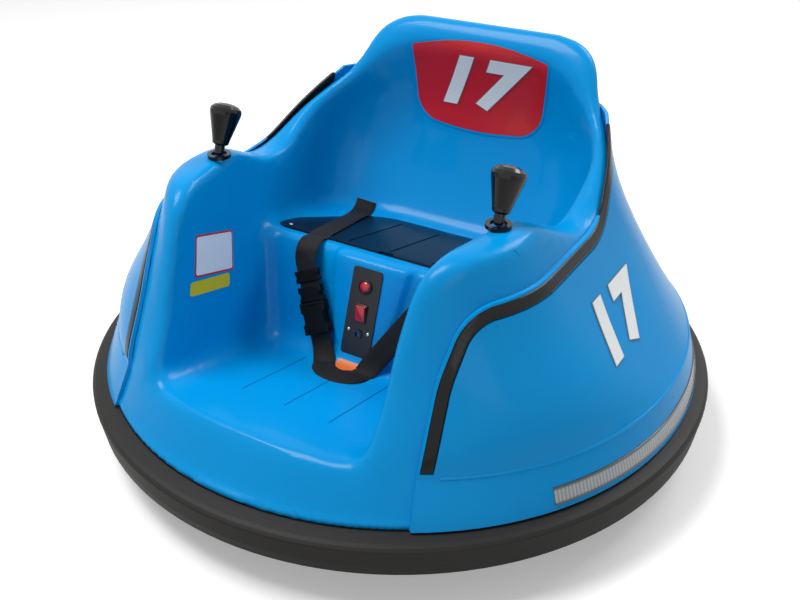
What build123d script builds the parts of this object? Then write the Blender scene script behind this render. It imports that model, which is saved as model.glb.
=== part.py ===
from build123d import *
import os
from math import atan2, cos, degrees, radians, sin

# A child's round bumper car, about 0.73 m across, for indoor floors. Millimetres, +Z up.
# The car faces -Y, the plane X = 0 is its mirror plane, and the origin lies on the floor
# under the middle of the bumper ring.

REACH = 400.0              # past the car's sides, front and back
HEAD = 460.0               # past its top
SEAT_GAP = 0.3             # clearance between pieces that lie against each other
RUN_GAP = 0.5              # clearance of an axle or a kingpin in its bore

# ---------------------------------------------------------------- bumper ring and tray
RING_RADIUS = 365.0        # outermost ridge of the ring
RING_WALL = 24.0           # from the ridge to the ring's wall against the tray
RING_INNER = RING_RADIUS - RING_WALL
RING_TOP = 80.0            # top face at the inner edge
RING_RIDGE = 75.5          # height of the outermost ridge
RING_BOTTOM = 42.0         # underside
RING_TUCK = 4.0            # the lower outer edge lies this far inside the ridge
RING_FOOT = RING_RADIUS - RING_TUCK
TRAY_TOP = 80.0            # the tub stands here
TRAY_WALL = 8.0
TRAY_SKIRT = 56.0          # lower edge of the tray's rim
# Section of the ring, from its top inner edge outwards and down: radius, height
RING_PROFILE = (
    (RING_INNER, TRAY_SKIRT),
    (RING_INNER, RING_TOP - 1.0),
    (RING_INNER + 1.0, RING_TOP),
    (RING_RADIUS - 8.0, RING_RIDGE + 2.5),
    (RING_RADIUS - 3.5, RING_RIDGE + 1.5),
    (RING_RADIUS - 1.0, RING_RIDGE - 0.5),
    (RING_RADIUS, RING_RIDGE - 2.5),
    (RING_RADIUS, RING_RIDGE - 5.0),
    (RING_RADIUS - 2.5, RING_RIDGE - 7.5),
    (RING_RADIUS - 2.5, RING_BOTTOM + 12.0),
    (RING_FOOT, RING_BOTTOM + 2.0),
    (RING_FOOT - 4.0, RING_BOTTOM),
    (RING_INNER + 4.0, RING_BOTTOM),
)

# ---------------------------------------------------------------- outer body
SHELL_WALL = 4.0           # side and rear shell
LEDGE_RADIUS = RING_INNER  # the tub's flange in front of the footwell
LEDGE_HEIGHT = 5.0
SKIRT = RING_RADIUS - 16.0  # half width of the bell's foot
# Plan outlines of the bell shape, from its foot to above the backrest. The lowest four
# follow the ring, and the others stand by themselves.
# height, half width, front, back, front corner radius, rear corner radius
BELL = (
    (82.0, SKIRT, SKIRT - 8.0, SKIRT, SKIRT - 11.0, SKIRT - 4.0),
    (126.0, SKIRT - 15.0, SKIRT - 38.0, SKIRT - 18.0, SKIRT - 41.0, SKIRT - 29.0),
    (148.0, SKIRT - 34.0, SKIRT - 58.0, SKIRT - 37.0, SKIRT - 97.0, SKIRT - 57.0),
    (170.0, SKIRT - 52.0, SKIRT - 78.0, SKIRT - 56.0, SKIRT - 144.0, SKIRT - 85.0),
    (232.0, 247.0, 250.0, 244.0, 158.0, 180.0),
    (280.0, 220.0, 238.0, 222.0, 139.0, 148.0),
    (340.0, 195.0, 228.0, 215.0, 115.0, 118.0),
    (440.0, 171.0, 216.0, 219.0, 95.0, 115.0),
)
BELL_CREASE = 2            # sections below the crease over the base lens
ARMREST_TOP = 310.0
# Crest of the body in side view, from the armrest's front to behind the backrest.
# along Y, height, round at the corner
CREST = (
    (-268.0, 165.0, 1.0),
    (-203.0, ARMREST_TOP, 62.0),
    (-80.0, ARMREST_TOP, 70.0),
    (17.0, 262.0, 75.0),
    (150.0, 342.0, 60.0),
    (240.0, 460.0, 1.0),
)
BACK_TOP = 418.0           # top of the backrest on the mirror plane
# Half outline of the backrest from the back: along X, height, round at the corner
ARCH = (
    (62.0, BACK_TOP, 330.0),
    (138.0, BACK_TOP - 19.0, 85.0),
    (REACH, 60.0, 0.0),
)

# Seam between the tub and the side shell, which the light strip follows: in side view
# its run along the side, and in a view square to the corner of the armrest its front end.
# along Y, height, round at the corner
SEAM_SIDE = (
    (-400.0, 262.0, 1.0),
    (30.0, 262.0, 110.0),
    (146.0, 337.0, 30.0),
    (400.0, 340.0, 1.0),
)
# across the view, height, round at the corner
SEAM_FRONT = (
    (-26.0, 40.0, 1.0),
    (-9.0, 133.0, 260.0),
    (10.0, 208.0, 120.0),
    (36.0, 262.0, 40.0),
    (150.0, 262.0, 1.0),
)
SEAM_VIEW = -53.0          # degrees of the front view from +X, towards +Y
SEAM_DEPTH = 120.0         # the front end's cut starts this far from the middle
SHELL_LIP = 8.5            # the shell's edge beyond the seam
STRIP_WIDTH = 12.0
STRIP_PROUD = 0.5
STRIP_LOW = 131.0
STRIP_END_Y = 142.0

# ---------------------------------------------------------------- drive wheels
WHEEL_Y = 20.0
WHEEL_X = 194.0            # middle of the tyre
TYRE_RADIUS = 55.0
TYRE_WIDTH = 36.0
TYRE_ROUND = 5.0
HUB_RADIUS = 36.0
HUB_RIM = 6.0
HUB_WEB = 7.0
HUB_BOSS = 11.0
AXLE_RADIUS = 4.0
AXLE_REACH = 11.0          # length of the axle inside the gearbox
AXLE_NUT_RADIUS = 7.0
AXLE_NUT_HEIGHT = 4.0
WELL_GAP = 10.0            # tray to tyre
GEARBOX_X = (118.0, 166.0)
GEARBOX_Y = (-26.0, 62.0)
GEARBOX_LOW = 30.0
GEARBOX_ROUND = 12.0
MOTOR_RADIUS = 17.0
MOTOR_Y = -2.0
MOTOR_X = 62.0             # inner end of the motor can

BATTERY_LENGTH = 151.0
BATTERY_WIDTH = 60.0
BATTERY_HEIGHT = 80.0
BATTERY_Y = 14.0

# ---------------------------------------------------------------- casters
CASTER_Y = {"front": -250.0, "rear": 262.0}
CASTER_WHEEL = 22.0
CASTER_WIDTH = 18.0
CASTER_TRAIL = 16.0
CASTER_PIN = 3.0           # radius of the wheel's axle
CASTER_PIN_HEAD = 5.0
CASTER_HEAD_HEIGHT = 2.0
CASTER_PLATE = 60.0
CASTER_PLATE_HEIGHT = 3.0
CASTER_CUP = 15.0
CASTER_CUP_LOW = 59.0
CROWN_HEIGHT = 5.0
KINGPIN = 4.0
KINGPIN_HEIGHT = 8.5
FORK_GAP = 2.0             # fork to the wheel's side
FORK_WALL = 3.0
FORK_EYE = 7.5
FORK_SHOULDER = 9.0        # half length of a leg at the crown

# ---------------------------------------------------------------- base lens
LENS_LOW = 87.0
LENS_HIGH = 103.0
LENS_START = -34.0         # degrees from +X, towards +Y
LENS_END = 38.0
LENS_PROUD = 1.0

# ---------------------------------------------------------------- cockpit
SEAT_HEIGHT = 208.0
FLOOR_FRONT = 131.0        # floor height at the front lip
FLOOR_REAR = 87.0          # floor height at the seat riser
LIP_Y = -297.0
RISER_FOOT_Y = -97.0
RISER_TOP_Y = -54.0
FLOOR_ROUND = 22.0         # at the foot of the riser
EDGE_ROUND = 14.0          # at the seat's front edge
SEAT_FALL = 0.235          # fall of the seat per length towards the back
# Plan outlines of the space inside the tub.
# height, half width at the front, half width at the seat, back, rear corner radius
CAVITY = (
    (57.0, 117.0, 119.0, 120.0, 90.0),
    (208.0, 131.0, 172.0, 155.0, 96.0),
    (250.0, 134.0, 180.0, 177.0, 104.0),
    (300.0, 139.0, 185.0, 189.0, 112.0),
    (440.0, 150.0, 185.0, 195.0, 116.0),
)
ARMREST_FRONT_Y = -205.0   # the cockpit widens from here
ARMREST_REAR_Y = 5.0       # to here
ARMREST_ROUND = 160.0

# Hollows under the seat, for the wheels and for the motors and battery.
HOLLOW_LOW = 60.0          # they open downwards past the tray
WHEEL_HOLLOW = ((-232.0, 232.0), (-60.0, 110.0), (HOLLOW_LOW, 128.0))
BATTERY_HOLLOW_X = 140.0
BATTERY_HOLLOW_Y = (-40.0, 104.0)
SEAT_WALL = 10.0

# ---------------------------------------------------------------- controls
JOYSTICK_X = 171.0
JOYSTICK_Y = -104.0
JOYSTICK_LEAN = 23.0       # degrees back from upright
JOYSTICK_BALL = 5.0
COLLAR_RADIUS = 13.0
COLLAR_BORE = 8.5
COLLAR_HEIGHT = 4.0
# Half outline of the joystick's knob: radius, distance from the ball's centre.
KNOB_ROOT = 5.5
# Half outline of the joystick's knob: radius, distance from the ball's centre.
KNOB = ((KNOB_ROOT, 0.0), (KNOB_ROOT, 7.5), (9.0, 9.5), (9.5, 13.0), (16.8, 41.0),
        (17.5, 45.0), (16.5, 48.5), (13.0, 51.5), (7.0, 53.5), (0.0, 54.0))

CONSOLE_HALF = 50.0        # half width at the seat's edge
CONSOLE_FOOT = 30.0        # half width at the floor
CONSOLE_TOP = SEAT_HEIGHT - 4.0
CONSOLE_PROUD = 8.0
CONSOLE_CORNER = 12.0
CONSOLE_EDGE = 4.0
PANEL_HALF = 19.0
PANEL_HIGH = SEAT_HEIGHT - 9.0
PANEL_LOW = PANEL_HIGH - 96.0
PANEL_WALL = 2.5
PANEL_ROUND = 4.0
LIGHT_HEIGHT = PANEL_HIGH - 19.0
LIGHT_RADIUS = 8.5
LIGHT_PROUD = 4.0
ROCKER_HEIGHT = PANEL_HIGH - 48.0
ROCKER_SIZE = (15.0, 21.0, 5.0)
SOCKET_HEIGHT = PANEL_HIGH - 71.5
SOCKET_RADIUS = 5.5
SOCKET_BORE = 3.0
SOCKET_PROUD = 1.5
SOCKET_DEPTH = 9.0

# ---------------------------------------------------------------- seat cover and belt
COVER_WALL = 4.0
# Half outline of the cover along the seat: along X, along Y, round at the corner
COVER = (
    (157.0, -33.0, 12.0),
    (157.0, 10.0, 40.0),
    (96.0, 116.0, 60.0),
)
BELT_WIDTH = 26.0
BELT_WALL = 1.6
BELT_LEFT_X = -82.0        # where the webbing comes over the seat's edge
BELT_RIGHT_X = 84.0
BELT_LEFT_FOOT = -35.0     # its places at the console's foot
BELT_RIGHT_FOOT = 20.0
BELT_TURN = 12.0           # degrees outwards, on its way back over the seat
BELT_BACK = 106.0          # rear end of the webbing, along Y
BELT_HIGH = SEAT_HEIGHT - 18.0
BELT_LOW = FLOOR_REAR + 6.0
BELT_JOIN = (BELT_HIGH + BELT_LOW) / 2
BELT_TIP = 7.0             # the hanging webbing ends this far over its lowest place
BELT_LIFT = 6.5            # webbing's middle in front of the console's level
BELT_BEND = 9.0
# Outline of the slack on the floor round the console's foot: along X, along Y, round
BELT_SLACK = (
    (BELT_LEFT_FOOT - 13.0, -111.0, 1.0),
    (BELT_LEFT_FOOT + 1.0, -152.0, 20.0),
    (BELT_RIGHT_FOOT + 2.0, -152.0, 20.0),
    (BELT_RIGHT_FOOT + 13.0, -111.0, 1.0),
    (BELT_RIGHT_FOOT - 13.0, -111.0, 1.0),
    (BELT_RIGHT_FOOT - 16.0, -126.0, 5.0),
    (BELT_LEFT_FOOT + 17.0, -126.0, 5.0),
    (BELT_LEFT_FOOT + 13.0, -111.0, 1.0),
)
SLACK_LIFT = 1.7           # over the floor, which starts to rise towards the riser
# The buckle's pieces follow each other down the left webbing.
SLIDER_HIGH = BELT_HIGH - 8.0
SLIDER_LENGTH = 12.0
SLIDER_LOW = SLIDER_HIGH - SLIDER_LENGTH
SLIDER_HALF = 16.5
SLIDER_HALF_HEIGHT = 3.5
TONGUE_HIGH = SLIDER_LOW - 4.0
TONGUE_LENGTH = 16.0
TONGUE_HALF = 16.0
TONGUE_HALF_HEIGHT = 4.5
BUCKLE_HIGH = TONGUE_HIGH - TONGUE_LENGTH
BUCKLE_LOW = BUCKLE_HIGH - (BELT_HIGH - BELT_LOW) / 3
BUCKLE_HALF = 17.0
BUCKLE_HALF_HEIGHT = 6.0
BUCKLE_ROUND = 2.0


def plan_outline(height, half_width, front, back, front_round, rear_round):
    """Rounded rectangle in plan, with front and back measured from the middle."""
    path = FilletPolyline(
        (-half_width, -front, height), (half_width, -front, height),
        (half_width, back, height), (-half_width, back, height),
        radius=[front_round, front_round, rear_round, rear_round], close=True)
    return make_face(path)


def bell(inset):
    """The closed bell shape, moved inwards by inset, with a crease over the base lens."""
    faces = [plan_outline(z, w - inset, f - inset, b - inset, rf - inset, rb - inset)
             for z, w, f, b, rf, rb in BELL]
    foot = loft(faces[:BELL_CREASE], ruled=True)
    return foot + loft(faces[BELL_CREASE - 1:])


def side_profile(rows, closing):
    """Face in the side view from a table of corners and the points that close it."""
    line = FilletPolyline(*[(0, y, z) for y, z, r in rows],
                          radius=[r for y, z, r in rows[1:-1]])
    first, last = rows[0], rows[-1]
    back = Polyline((0, last[0], last[1]), *[(0, y, z) for y, z in closing],
                    (0, first[0], first[1]))
    return make_face(line.edges() + back.edges())


def across(face):
    """Extrudes a side-view face through the whole width."""
    return extrude(face, amount=REACH, dir=(1, 0, 0), both=True)


def below_crest():
    """Everything under the crest line and inside the arch of the backrest."""
    side = side_profile(CREST, [(REACH, HEAD), (REACH, 0), (-REACH, 0), (-REACH, CREST[0][1])])
    rows = [(-x, z, r) for x, z, r in reversed(ARCH)] + list(ARCH)
    top = FilletPolyline(*[(x, 0, z) for x, z, r in rows], radius=[r for x, z, r in rows[1:-1]])
    foot = Polyline(top @ 1, (REACH, 0, 0), (-REACH, 0, 0), top @ 0)
    arch = make_face(top.edges() + foot.edges())
    return across(side) & extrude(arch, amount=REACH, dir=(0, 1, 0), both=True)


def floor_height(y):
    """Height of the sloping floor of the footwell."""
    return FLOOR_REAR + (FLOOR_FRONT - FLOOR_REAR) * (RISER_FOOT_Y - y) / (RISER_FOOT_Y - LIP_Y)


def riser_y(z):
    """Place of the leaning seat riser at a height."""
    return RISER_FOOT_Y + (RISER_TOP_Y - RISER_FOOT_Y) * (z - FLOOR_REAR) / (SEAT_HEIGHT - FLOOR_REAR)


def seat_height(y):
    """Height of the seat, which falls towards the backrest."""
    return SEAT_HEIGHT - SEAT_FALL * (y - RISER_TOP_Y)


def cavity():
    """The open space inside the tub, over the floor, the riser and the seat."""
    faces = []
    for z, front_half, half, back, rear_round in CAVITY:
        right = [(front_half, -REACH), (front_half, ARMREST_FRONT_Y),
                 (half, ARMREST_REAR_Y), (half, back)]
        left = [(-x, y) for x, y in reversed(right)]
        rounds = [1, ARMREST_ROUND, ARMREST_ROUND, rear_round]
        path = FilletPolyline(*[(x, y, z) for x, y in right + left],
                              radius=rounds + rounds[::-1], close=True)
        faces.append(make_face(path))
    bottom = [(-REACH, floor_height(-REACH), 0), (RISER_FOOT_Y, FLOOR_REAR, FLOOR_ROUND),
              (RISER_TOP_Y, SEAT_HEIGHT, EDGE_ROUND), (REACH, seat_height(REACH), 0)]
    return loft(faces) & across(side_profile(bottom, [(REACH, 2 * REACH), (-REACH, 2 * REACH)]))


def block(x_range, y_range, z_range):
    """Box from its limits along each axis."""
    (x0, x1), (y0, y1), (z0, z1) = x_range, y_range, z_range
    return Pos((x0 + x1) / 2, (y0 + y1) / 2, (z0 + z1) / 2) * Box(x1 - x0, y1 - y0, z1 - z0)


def rod(radius, start, end):
    """Round rod from one point to another."""
    start, end = Vector(*start), Vector(*end)
    plane = Plane(origin=start, z_dir=end - start)
    return extrude(plane * Circle(radius), amount=(end - start).length)


def mirrored(piece):
    """The same piece on the other side of the car."""
    return mirror(piece, about=Plane.YZ)


def front_block(grow):
    """What the side shell leaves free round the armrest's front, less grow, on the +X side."""
    path = [(u, z) for u, z, r in SEAM_FRONT]
    line = FilletPolyline(*path, radius=[r for u, z, r in SEAM_FRONT[1:-1]])
    around = Polyline(path[-1], (path[-1][0], REACH), (-REACH, REACH), (-REACH, path[0][1]), path[0])
    face = offset(make_face(line.edges() + around.edges()), amount=-grow)
    out = Vector(cos(radians(SEAM_VIEW)), sin(radians(SEAM_VIEW)), 0)
    view = Plane(origin=out * SEAM_DEPTH, x_dir=(-out.Y, out.X, 0), z_dir=out)
    return extrude(view * face, amount=REACH)


def seam_region(grow):
    """Everything below and behind the seam, grown by an amount."""
    face = side_profile(SEAM_SIDE, [(REACH, -REACH), (-REACH, -REACH)])
    front = front_block(grow)
    return across(offset(face, amount=grow)) - front - mirrored(front)


def shell_layer(outside, inside):
    """Layer of the bell between two insets."""
    return bell(outside) - bell(inside)


def strip_region(margin):
    """Region that the light strips take up along the seam."""
    half = STRIP_WIDTH / 2 + margin
    span = block((-REACH, REACH), (-REACH, STRIP_END_Y + margin), (STRIP_LOW - margin, REACH))
    return (seam_region(half) - seam_region(-half)) & span


def lens_region(margin):
    """Sector of the foot of the shell that the base lens on the +X side takes up."""
    height = LENS_HIGH - LENS_LOW + 2 * margin
    turn = degrees(margin / BELL[0][1])
    sector = Cylinder(REACH, height, arc_size=LENS_END - LENS_START + 2 * turn,
                      align=(Align.NONE, Align.NONE, Align.MIN))
    return Pos(0, 0, LENS_LOW - margin) * Rot(0, 0, LENS_START - turn) * sector


def riser_plane(height, proud):
    """Plane along the leaning seat riser, moved forward square to it by an amount."""
    lean = atan2(RISER_TOP_Y - RISER_FOOT_Y, SEAT_HEIGHT - FLOOR_REAR)
    return Plane(origin=(0, riser_y(height) - proud / cos(lean), height),
                 x_dir=(1, 0, 0), z_dir=(0, -cos(lean), sin(lean)))


def along_riser(height):
    """Length along the leaning riser of a height."""
    return height / cos(atan2(RISER_TOP_Y - RISER_FOOT_Y, SEAT_HEIGHT - FLOOR_REAR))


def console():
    """Tapered bulge on the middle of the seat riser that carries the switch panel."""
    middle = (FLOOR_REAR + CONSOLE_TOP) / 2
    rise = along_riser(CONSOLE_TOP - FLOOR_REAR) / 2
    outline = FilletPolyline(
        (-CONSOLE_FOOT, -rise), (CONSOLE_FOOT, -rise), (CONSOLE_HALF, rise), (-CONSOLE_HALF, rise),
        radius=[CONSOLE_CORNER, CONSOLE_CORNER, 1, 1], close=True)
    plane = riser_plane(middle, -CONSOLE_PROUD)
    bulge = extrude(plane * make_face(outline), amount=2 * CONSOLE_PROUD)
    front = bulge.faces().sort_by(Axis(plane.origin, plane.z_dir))[-1]
    return fillet(front.edges(), CONSOLE_EDGE)


def battery_hollow():
    """Hollow over the battery, which leaves the seat's wall all over."""
    front, rear = BATTERY_HOLLOW_Y
    side = Polyline((0, front, HOLLOW_LOW), (0, rear, HOLLOW_LOW),
                    (0, rear, seat_height(rear) - SEAT_WALL),
                    (0, front, seat_height(front) - SEAT_WALL), close=True)
    return extrude(make_face(side), amount=BATTERY_HOLLOW_X, dir=(1, 0, 0), both=True)


def cockpit_tub():
    outer = bell(SHELL_WALL + SEAT_GAP) & below_crest()
    base = Pos(0, 0, TRAY_TOP) * Cylinder(LEDGE_RADIUS, LEDGE_HEIGHT,
                                          align=(Align.CENTER, Align.CENTER, Align.MIN))
    body = outer + base
    body -= cavity()
    body -= block(*WHEEL_HOLLOW)
    body -= battery_hollow()
    body -= seat_plate(SEAT_GAP, COVER_WALL)
    body += console()
    socket_plane = riser_plane(SOCKET_HEIGHT, CONSOLE_PROUD)
    body -= extrude(socket_plane * Circle(SOCKET_RADIUS + SEAT_GAP), amount=-SOCKET_DEPTH)
    return body


def outer_shell():
    shell = shell_layer(0, SHELL_WALL) & below_crest() & seam_region(SHELL_LIP)
    shell -= strip_region(SEAT_GAP)
    for lens in (lens_region(SEAT_GAP), mirrored(lens_region(SEAT_GAP))):
        shell -= lens
    return shell


def light_strip():
    """The strip on the +X side, set on the tub along the shell's edge."""
    layer = shell_layer(-STRIP_PROUD, SHELL_WALL)
    return layer & strip_region(0) & block((0, REACH), (-REACH, REACH), (0, 2 * REACH))


def base_lens():
    """The clear lens on the +X side, low on the shell."""
    return shell_layer(-LENS_PROUD, SHELL_WALL) & lens_region(0)


def bumper_ring():
    outline = Polyline(*RING_PROFILE, close=True)
    return revolve(Plane.XZ * make_face(outline), axis=Axis.Z)


def base_tray():
    plate = Pos(0, 0, TRAY_TOP - TRAY_WALL) * Cylinder(
        RING_INNER - SEAT_GAP, TRAY_WALL, align=(Align.CENTER, Align.CENTER, Align.MIN))
    skirt_height = TRAY_TOP - TRAY_WALL - TRAY_SKIRT
    skirt = Cylinder(RING_INNER - SEAT_GAP, skirt_height) \
        - Cylinder(RING_INNER - SEAT_GAP - TRAY_WALL, skirt_height)
    plate += Pos(0, 0, TRAY_SKIRT + skirt_height / 2) * skirt
    half = TYRE_WIDTH / 2 + WELL_GAP
    for side in (-1, 1):
        x = side * WHEEL_X
        plate -= block((x - half, x + half),
                       (WHEEL_Y - TYRE_RADIUS - WELL_GAP, WHEEL_Y + TYRE_RADIUS + WELL_GAP),
                       (0, TRAY_TOP + 1))
    return plate


def drive_unit():
    """Gearbox with its motor can, hung under the tray on the +X side."""
    top = TRAY_TOP - TRAY_WALL
    box = block(GEARBOX_X, GEARBOX_Y, (GEARBOX_LOW, top))
    box = fillet(box.edges().filter_by(Axis.X).group_by(Axis.Z)[0], GEARBOX_ROUND)
    motor = rod(MOTOR_RADIUS, (MOTOR_X, MOTOR_Y, top - MOTOR_RADIUS),
                (GEARBOX_X[0], MOTOR_Y, top - MOTOR_RADIUS))
    bore = rod(AXLE_RADIUS + RUN_GAP, (GEARBOX_X[1] - AXLE_REACH - RUN_GAP, WHEEL_Y, TYRE_RADIUS),
               (GEARBOX_X[1] + 1, WHEEL_Y, TYRE_RADIUS))
    return box + motor - bore


def wheel_ring(outer, inner, width, corner):
    """Ring about the wheel's axle, with rounded outer corners."""
    ring = Cylinder(outer, width) - Cylinder(inner, width)
    if corner:
        rim = ring.edges().filter_by(GeomType.CIRCLE).sort_by(SortBy.RADIUS)[-2:]
        ring = fillet(rim, corner)
    return Pos(WHEEL_X, WHEEL_Y, TYRE_RADIUS) * Rot(0, 90, 0) * ring


def drive_tyre():
    return wheel_ring(TYRE_RADIUS, HUB_RADIUS + SEAT_GAP / 2, TYRE_WIDTH, TYRE_ROUND)


def drive_hub():
    rim = wheel_ring(HUB_RADIUS, HUB_RADIUS - HUB_RIM, TYRE_WIDTH - 4, 0)
    web = wheel_ring(HUB_RADIUS - HUB_RIM / 2, AXLE_RADIUS + SEAT_GAP / 2, HUB_WEB, 0)
    boss = wheel_ring(HUB_BOSS, AXLE_RADIUS + SEAT_GAP / 2, TYRE_WIDTH, 0)
    return rim + web + boss


def drive_axle():
    end = WHEEL_X + TYRE_WIDTH / 2
    shaft = rod(AXLE_RADIUS, (GEARBOX_X[1] - AXLE_REACH, WHEEL_Y, TYRE_RADIUS),
                (end + AXLE_NUT_HEIGHT, WHEEL_Y, TYRE_RADIUS))
    nut = rod(AXLE_NUT_RADIUS, (end, WHEEL_Y, TYRE_RADIUS),
              (end + AXLE_NUT_HEIGHT, WHEEL_Y, TYRE_RADIUS))
    return shaft + nut


def caster_mount(y):
    """Plate under the tray with the cup that holds the kingpin."""
    top = TRAY_TOP - TRAY_WALL
    half = CASTER_PLATE / 2
    plate = block((-half, half), (y - half, y + half), (top - CASTER_PLATE_HEIGHT, top))
    cup = rod(CASTER_CUP, (0, y, CASTER_CUP_LOW), (0, y, top - CASTER_PLATE_HEIGHT / 2))
    bore = rod(KINGPIN + RUN_GAP, (0, y, CASTER_CUP_LOW - 1),
               (0, y, CASTER_CUP_LOW + KINGPIN_HEIGHT))
    return plate + cup - bore


def caster_fork(y):
    """Swivelling fork, whose wheel trails towards the back."""
    crown_top = CASTER_CUP_LOW - SEAT_GAP
    crown_low = crown_top - CROWN_HEIGHT
    fork = rod(CASTER_CUP, (0, y, crown_low), (0, y, crown_top))
    fork += rod(KINGPIN, (0, y, crown_top - 1), (0, y, crown_top + KINGPIN_HEIGHT - RUN_GAP))
    inner = CASTER_WIDTH / 2 + FORK_GAP
    axle = Vector(0, y + CASTER_TRAIL, CASTER_WHEEL)
    shoulder = Pos(y, crown_top - CROWN_HEIGHT / 2) * Rectangle(2 * FORK_SHOULDER, CROWN_HEIGHT)
    eye = Pos(axle.Y, axle.Z) * Circle(FORK_EYE)
    side = Plane.YZ * make_hull(shoulder.edges() + eye.edges())
    for start in (-inner - FORK_WALL, inner):
        fork += Pos(start, 0, 0) * extrude(side, amount=FORK_WALL, dir=(1, 0, 0))
    reach = inner + FORK_WALL + 1
    return fork - rod(CASTER_PIN + SEAT_GAP / 2, axle - Vector(reach, 0, 0), axle + Vector(reach, 0, 0))


def caster_wheel(y):
    axle = Vector(CASTER_WIDTH / 2, y + CASTER_TRAIL, CASTER_WHEEL)
    far = axle - Vector(CASTER_WIDTH, 0, 0)
    wheel = rod(CASTER_WHEEL, far, axle)
    wheel = fillet(wheel.edges().filter_by(GeomType.CIRCLE), CASTER_WIDTH / 6)
    return wheel - rod(CASTER_PIN + RUN_GAP, far, axle)


def caster_pin(y):
    reach = CASTER_WIDTH / 2 + FORK_GAP + FORK_WALL + SEAT_GAP
    axle = Vector(0, y + CASTER_TRAIL, CASTER_WHEEL)
    step = Vector(reach, 0, 0)
    head = Vector(CASTER_HEAD_HEIGHT, 0, 0)
    pin = rod(CASTER_PIN, axle - step, axle + step)
    pin += rod(CASTER_PIN_HEAD, axle + step, axle + step + head)
    pin += rod(CASTER_PIN_HEAD, axle - step, axle - step - head)
    return pin


def battery():
    """The battery stands on the tray under the seat."""
    half = BATTERY_LENGTH / 2
    return block((-half, half), (BATTERY_Y, BATTERY_Y + BATTERY_WIDTH),
                 (TRAY_TOP, TRAY_TOP + BATTERY_HEIGHT))


def joystick():
    ball = Vector(JOYSTICK_X, JOYSTICK_Y, ARMREST_TOP + JOYSTICK_BALL + SEAT_GAP)
    outline = Polyline(*KNOB, (0, 0), close=True)
    knob = revolve(Plane.XZ * make_face(outline), axis=Axis.Z)
    return Pos(ball) * (Rot(-JOYSTICK_LEAN, 0, 0) * knob + Sphere(JOYSTICK_BALL))


def joystick_collar():
    base = Vector(JOYSTICK_X, JOYSTICK_Y, ARMREST_TOP)
    top = base + Vector(0, 0, COLLAR_HEIGHT)
    return rod(COLLAR_RADIUS, base, top) - rod(COLLAR_BORE, base, top)


def switch_panel():
    middle = (PANEL_LOW + PANEL_HIGH) / 2
    plane = riser_plane(middle, CONSOLE_PROUD)
    length = along_riser(PANEL_HIGH - PANEL_LOW)
    panel = extrude(plane * RectangleRounded(2 * PANEL_HALF, length, PANEL_ROUND),
                    amount=PANEL_WALL)
    socket = riser_plane(SOCKET_HEIGHT, CONSOLE_PROUD)
    return panel - extrude(socket * Circle(SOCKET_RADIUS + SEAT_GAP), amount=PANEL_WALL + 1)


def charge_socket():
    plane = riser_plane(SOCKET_HEIGHT, CONSOLE_PROUD).offset(PANEL_WALL + SOCKET_PROUD)
    depth = PANEL_WALL + SOCKET_PROUD + SOCKET_DEPTH - SEAT_GAP
    body = extrude(plane * Circle(SOCKET_RADIUS), amount=-depth)
    return body - extrude(plane * Circle(SOCKET_BORE), amount=2 - depth)


def power_light():
    plane = riser_plane(LIGHT_HEIGHT, CONSOLE_PROUD).offset(PANEL_WALL)
    return extrude(plane * Circle(LIGHT_RADIUS), amount=LIGHT_PROUD)


def rocker_switch():
    plane = riser_plane(ROCKER_HEIGHT, CONSOLE_PROUD).offset(PANEL_WALL)
    width, length, height = ROCKER_SIZE
    return extrude(plane * Rectangle(width, length), amount=height)


def seat_plate(grow, depth):
    """Plate let into the seat, grown sideways by an amount."""
    rows = [(x, y, r) for x, y, r in COVER] + [(-x, y, r) for x, y, r in reversed(COVER)]
    path = FilletPolyline(*[(x, y) for x, y, r in rows], radius=[r for x, y, r in rows], close=True)
    face = make_face(path)
    if grow:
        face = offset(face, amount=grow)
    start = Plane(origin=(0, 0, seat_height(0)), x_dir=(1, 0, 0), z_dir=(0, SEAT_FALL, 1))
    return extrude(start * face, amount=-depth)


def seat_cover():
    return seat_plate(0, COVER_WALL - SEAT_GAP)


def webbing_plane(height):
    """Plane of the webbing's middle, where it hangs in front of the riser."""
    return riser_plane(height, CONSOLE_PROUD + BELT_LIFT)


def belt_over_seat(x, turn):
    """Webbing from its rear end, over the seat and round the seat's front edge."""
    lift = SEAT_GAP + (BELT_WALL + SEAT_FALL * sin(radians(abs(turn))) * BELT_WIDTH) / 2
    edge = webbing_plane(BELT_HIGH).origin.Y
    corner = edge + BELT_LIFT
    rows = [(y - edge, seat_height(y) + lift) for y in (BELT_BACK, corner)] + [(0, BELT_HIGH)]
    line = FilletPolyline(*[(0, y / cos(radians(turn)), z) for y, z in rows], radius=BELT_BEND)
    start = Plane(origin=line @ 0, z_dir=line % 0, x_dir=(1, 0, 0))
    run = sweep(start * Rectangle(BELT_WIDTH, BELT_WALL), path=line)
    return Pos(x, edge, 0) * Rot(0, 0, turn) * run


def slanted(top_x, foot_x, low, high, half_width, half_height):
    """Block along the hanging webbing between two heights, square to its line."""
    middle = (low + high) / 2
    x = foot_x + (top_x - foot_x) * (middle - BELT_LOW) / (BELT_HIGH - BELT_LOW)
    lean = atan2(foot_x - top_x, along_riser(BELT_HIGH - BELT_LOW))
    box = Box(2 * half_width, along_riser(high - low) / cos(lean), 2 * half_height)
    return Pos(x, 0, 0) * webbing_plane(middle) * Rot(0, 0, degrees(lean)) * box


def hanging(top_x, foot_x, low, high):
    """Webbing in front of the riser, on the line from the seat's edge to the console's foot."""
    return slanted(top_x, foot_x, low, high, BELT_WIDTH / 2, BELT_WALL / 2)


def belt_left():
    strap = hanging(BELT_LEFT_X, BELT_LEFT_FOOT, TONGUE_HIGH, BELT_HIGH)
    return belt_over_seat(BELT_LEFT_X, BELT_TURN) + strap


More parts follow.
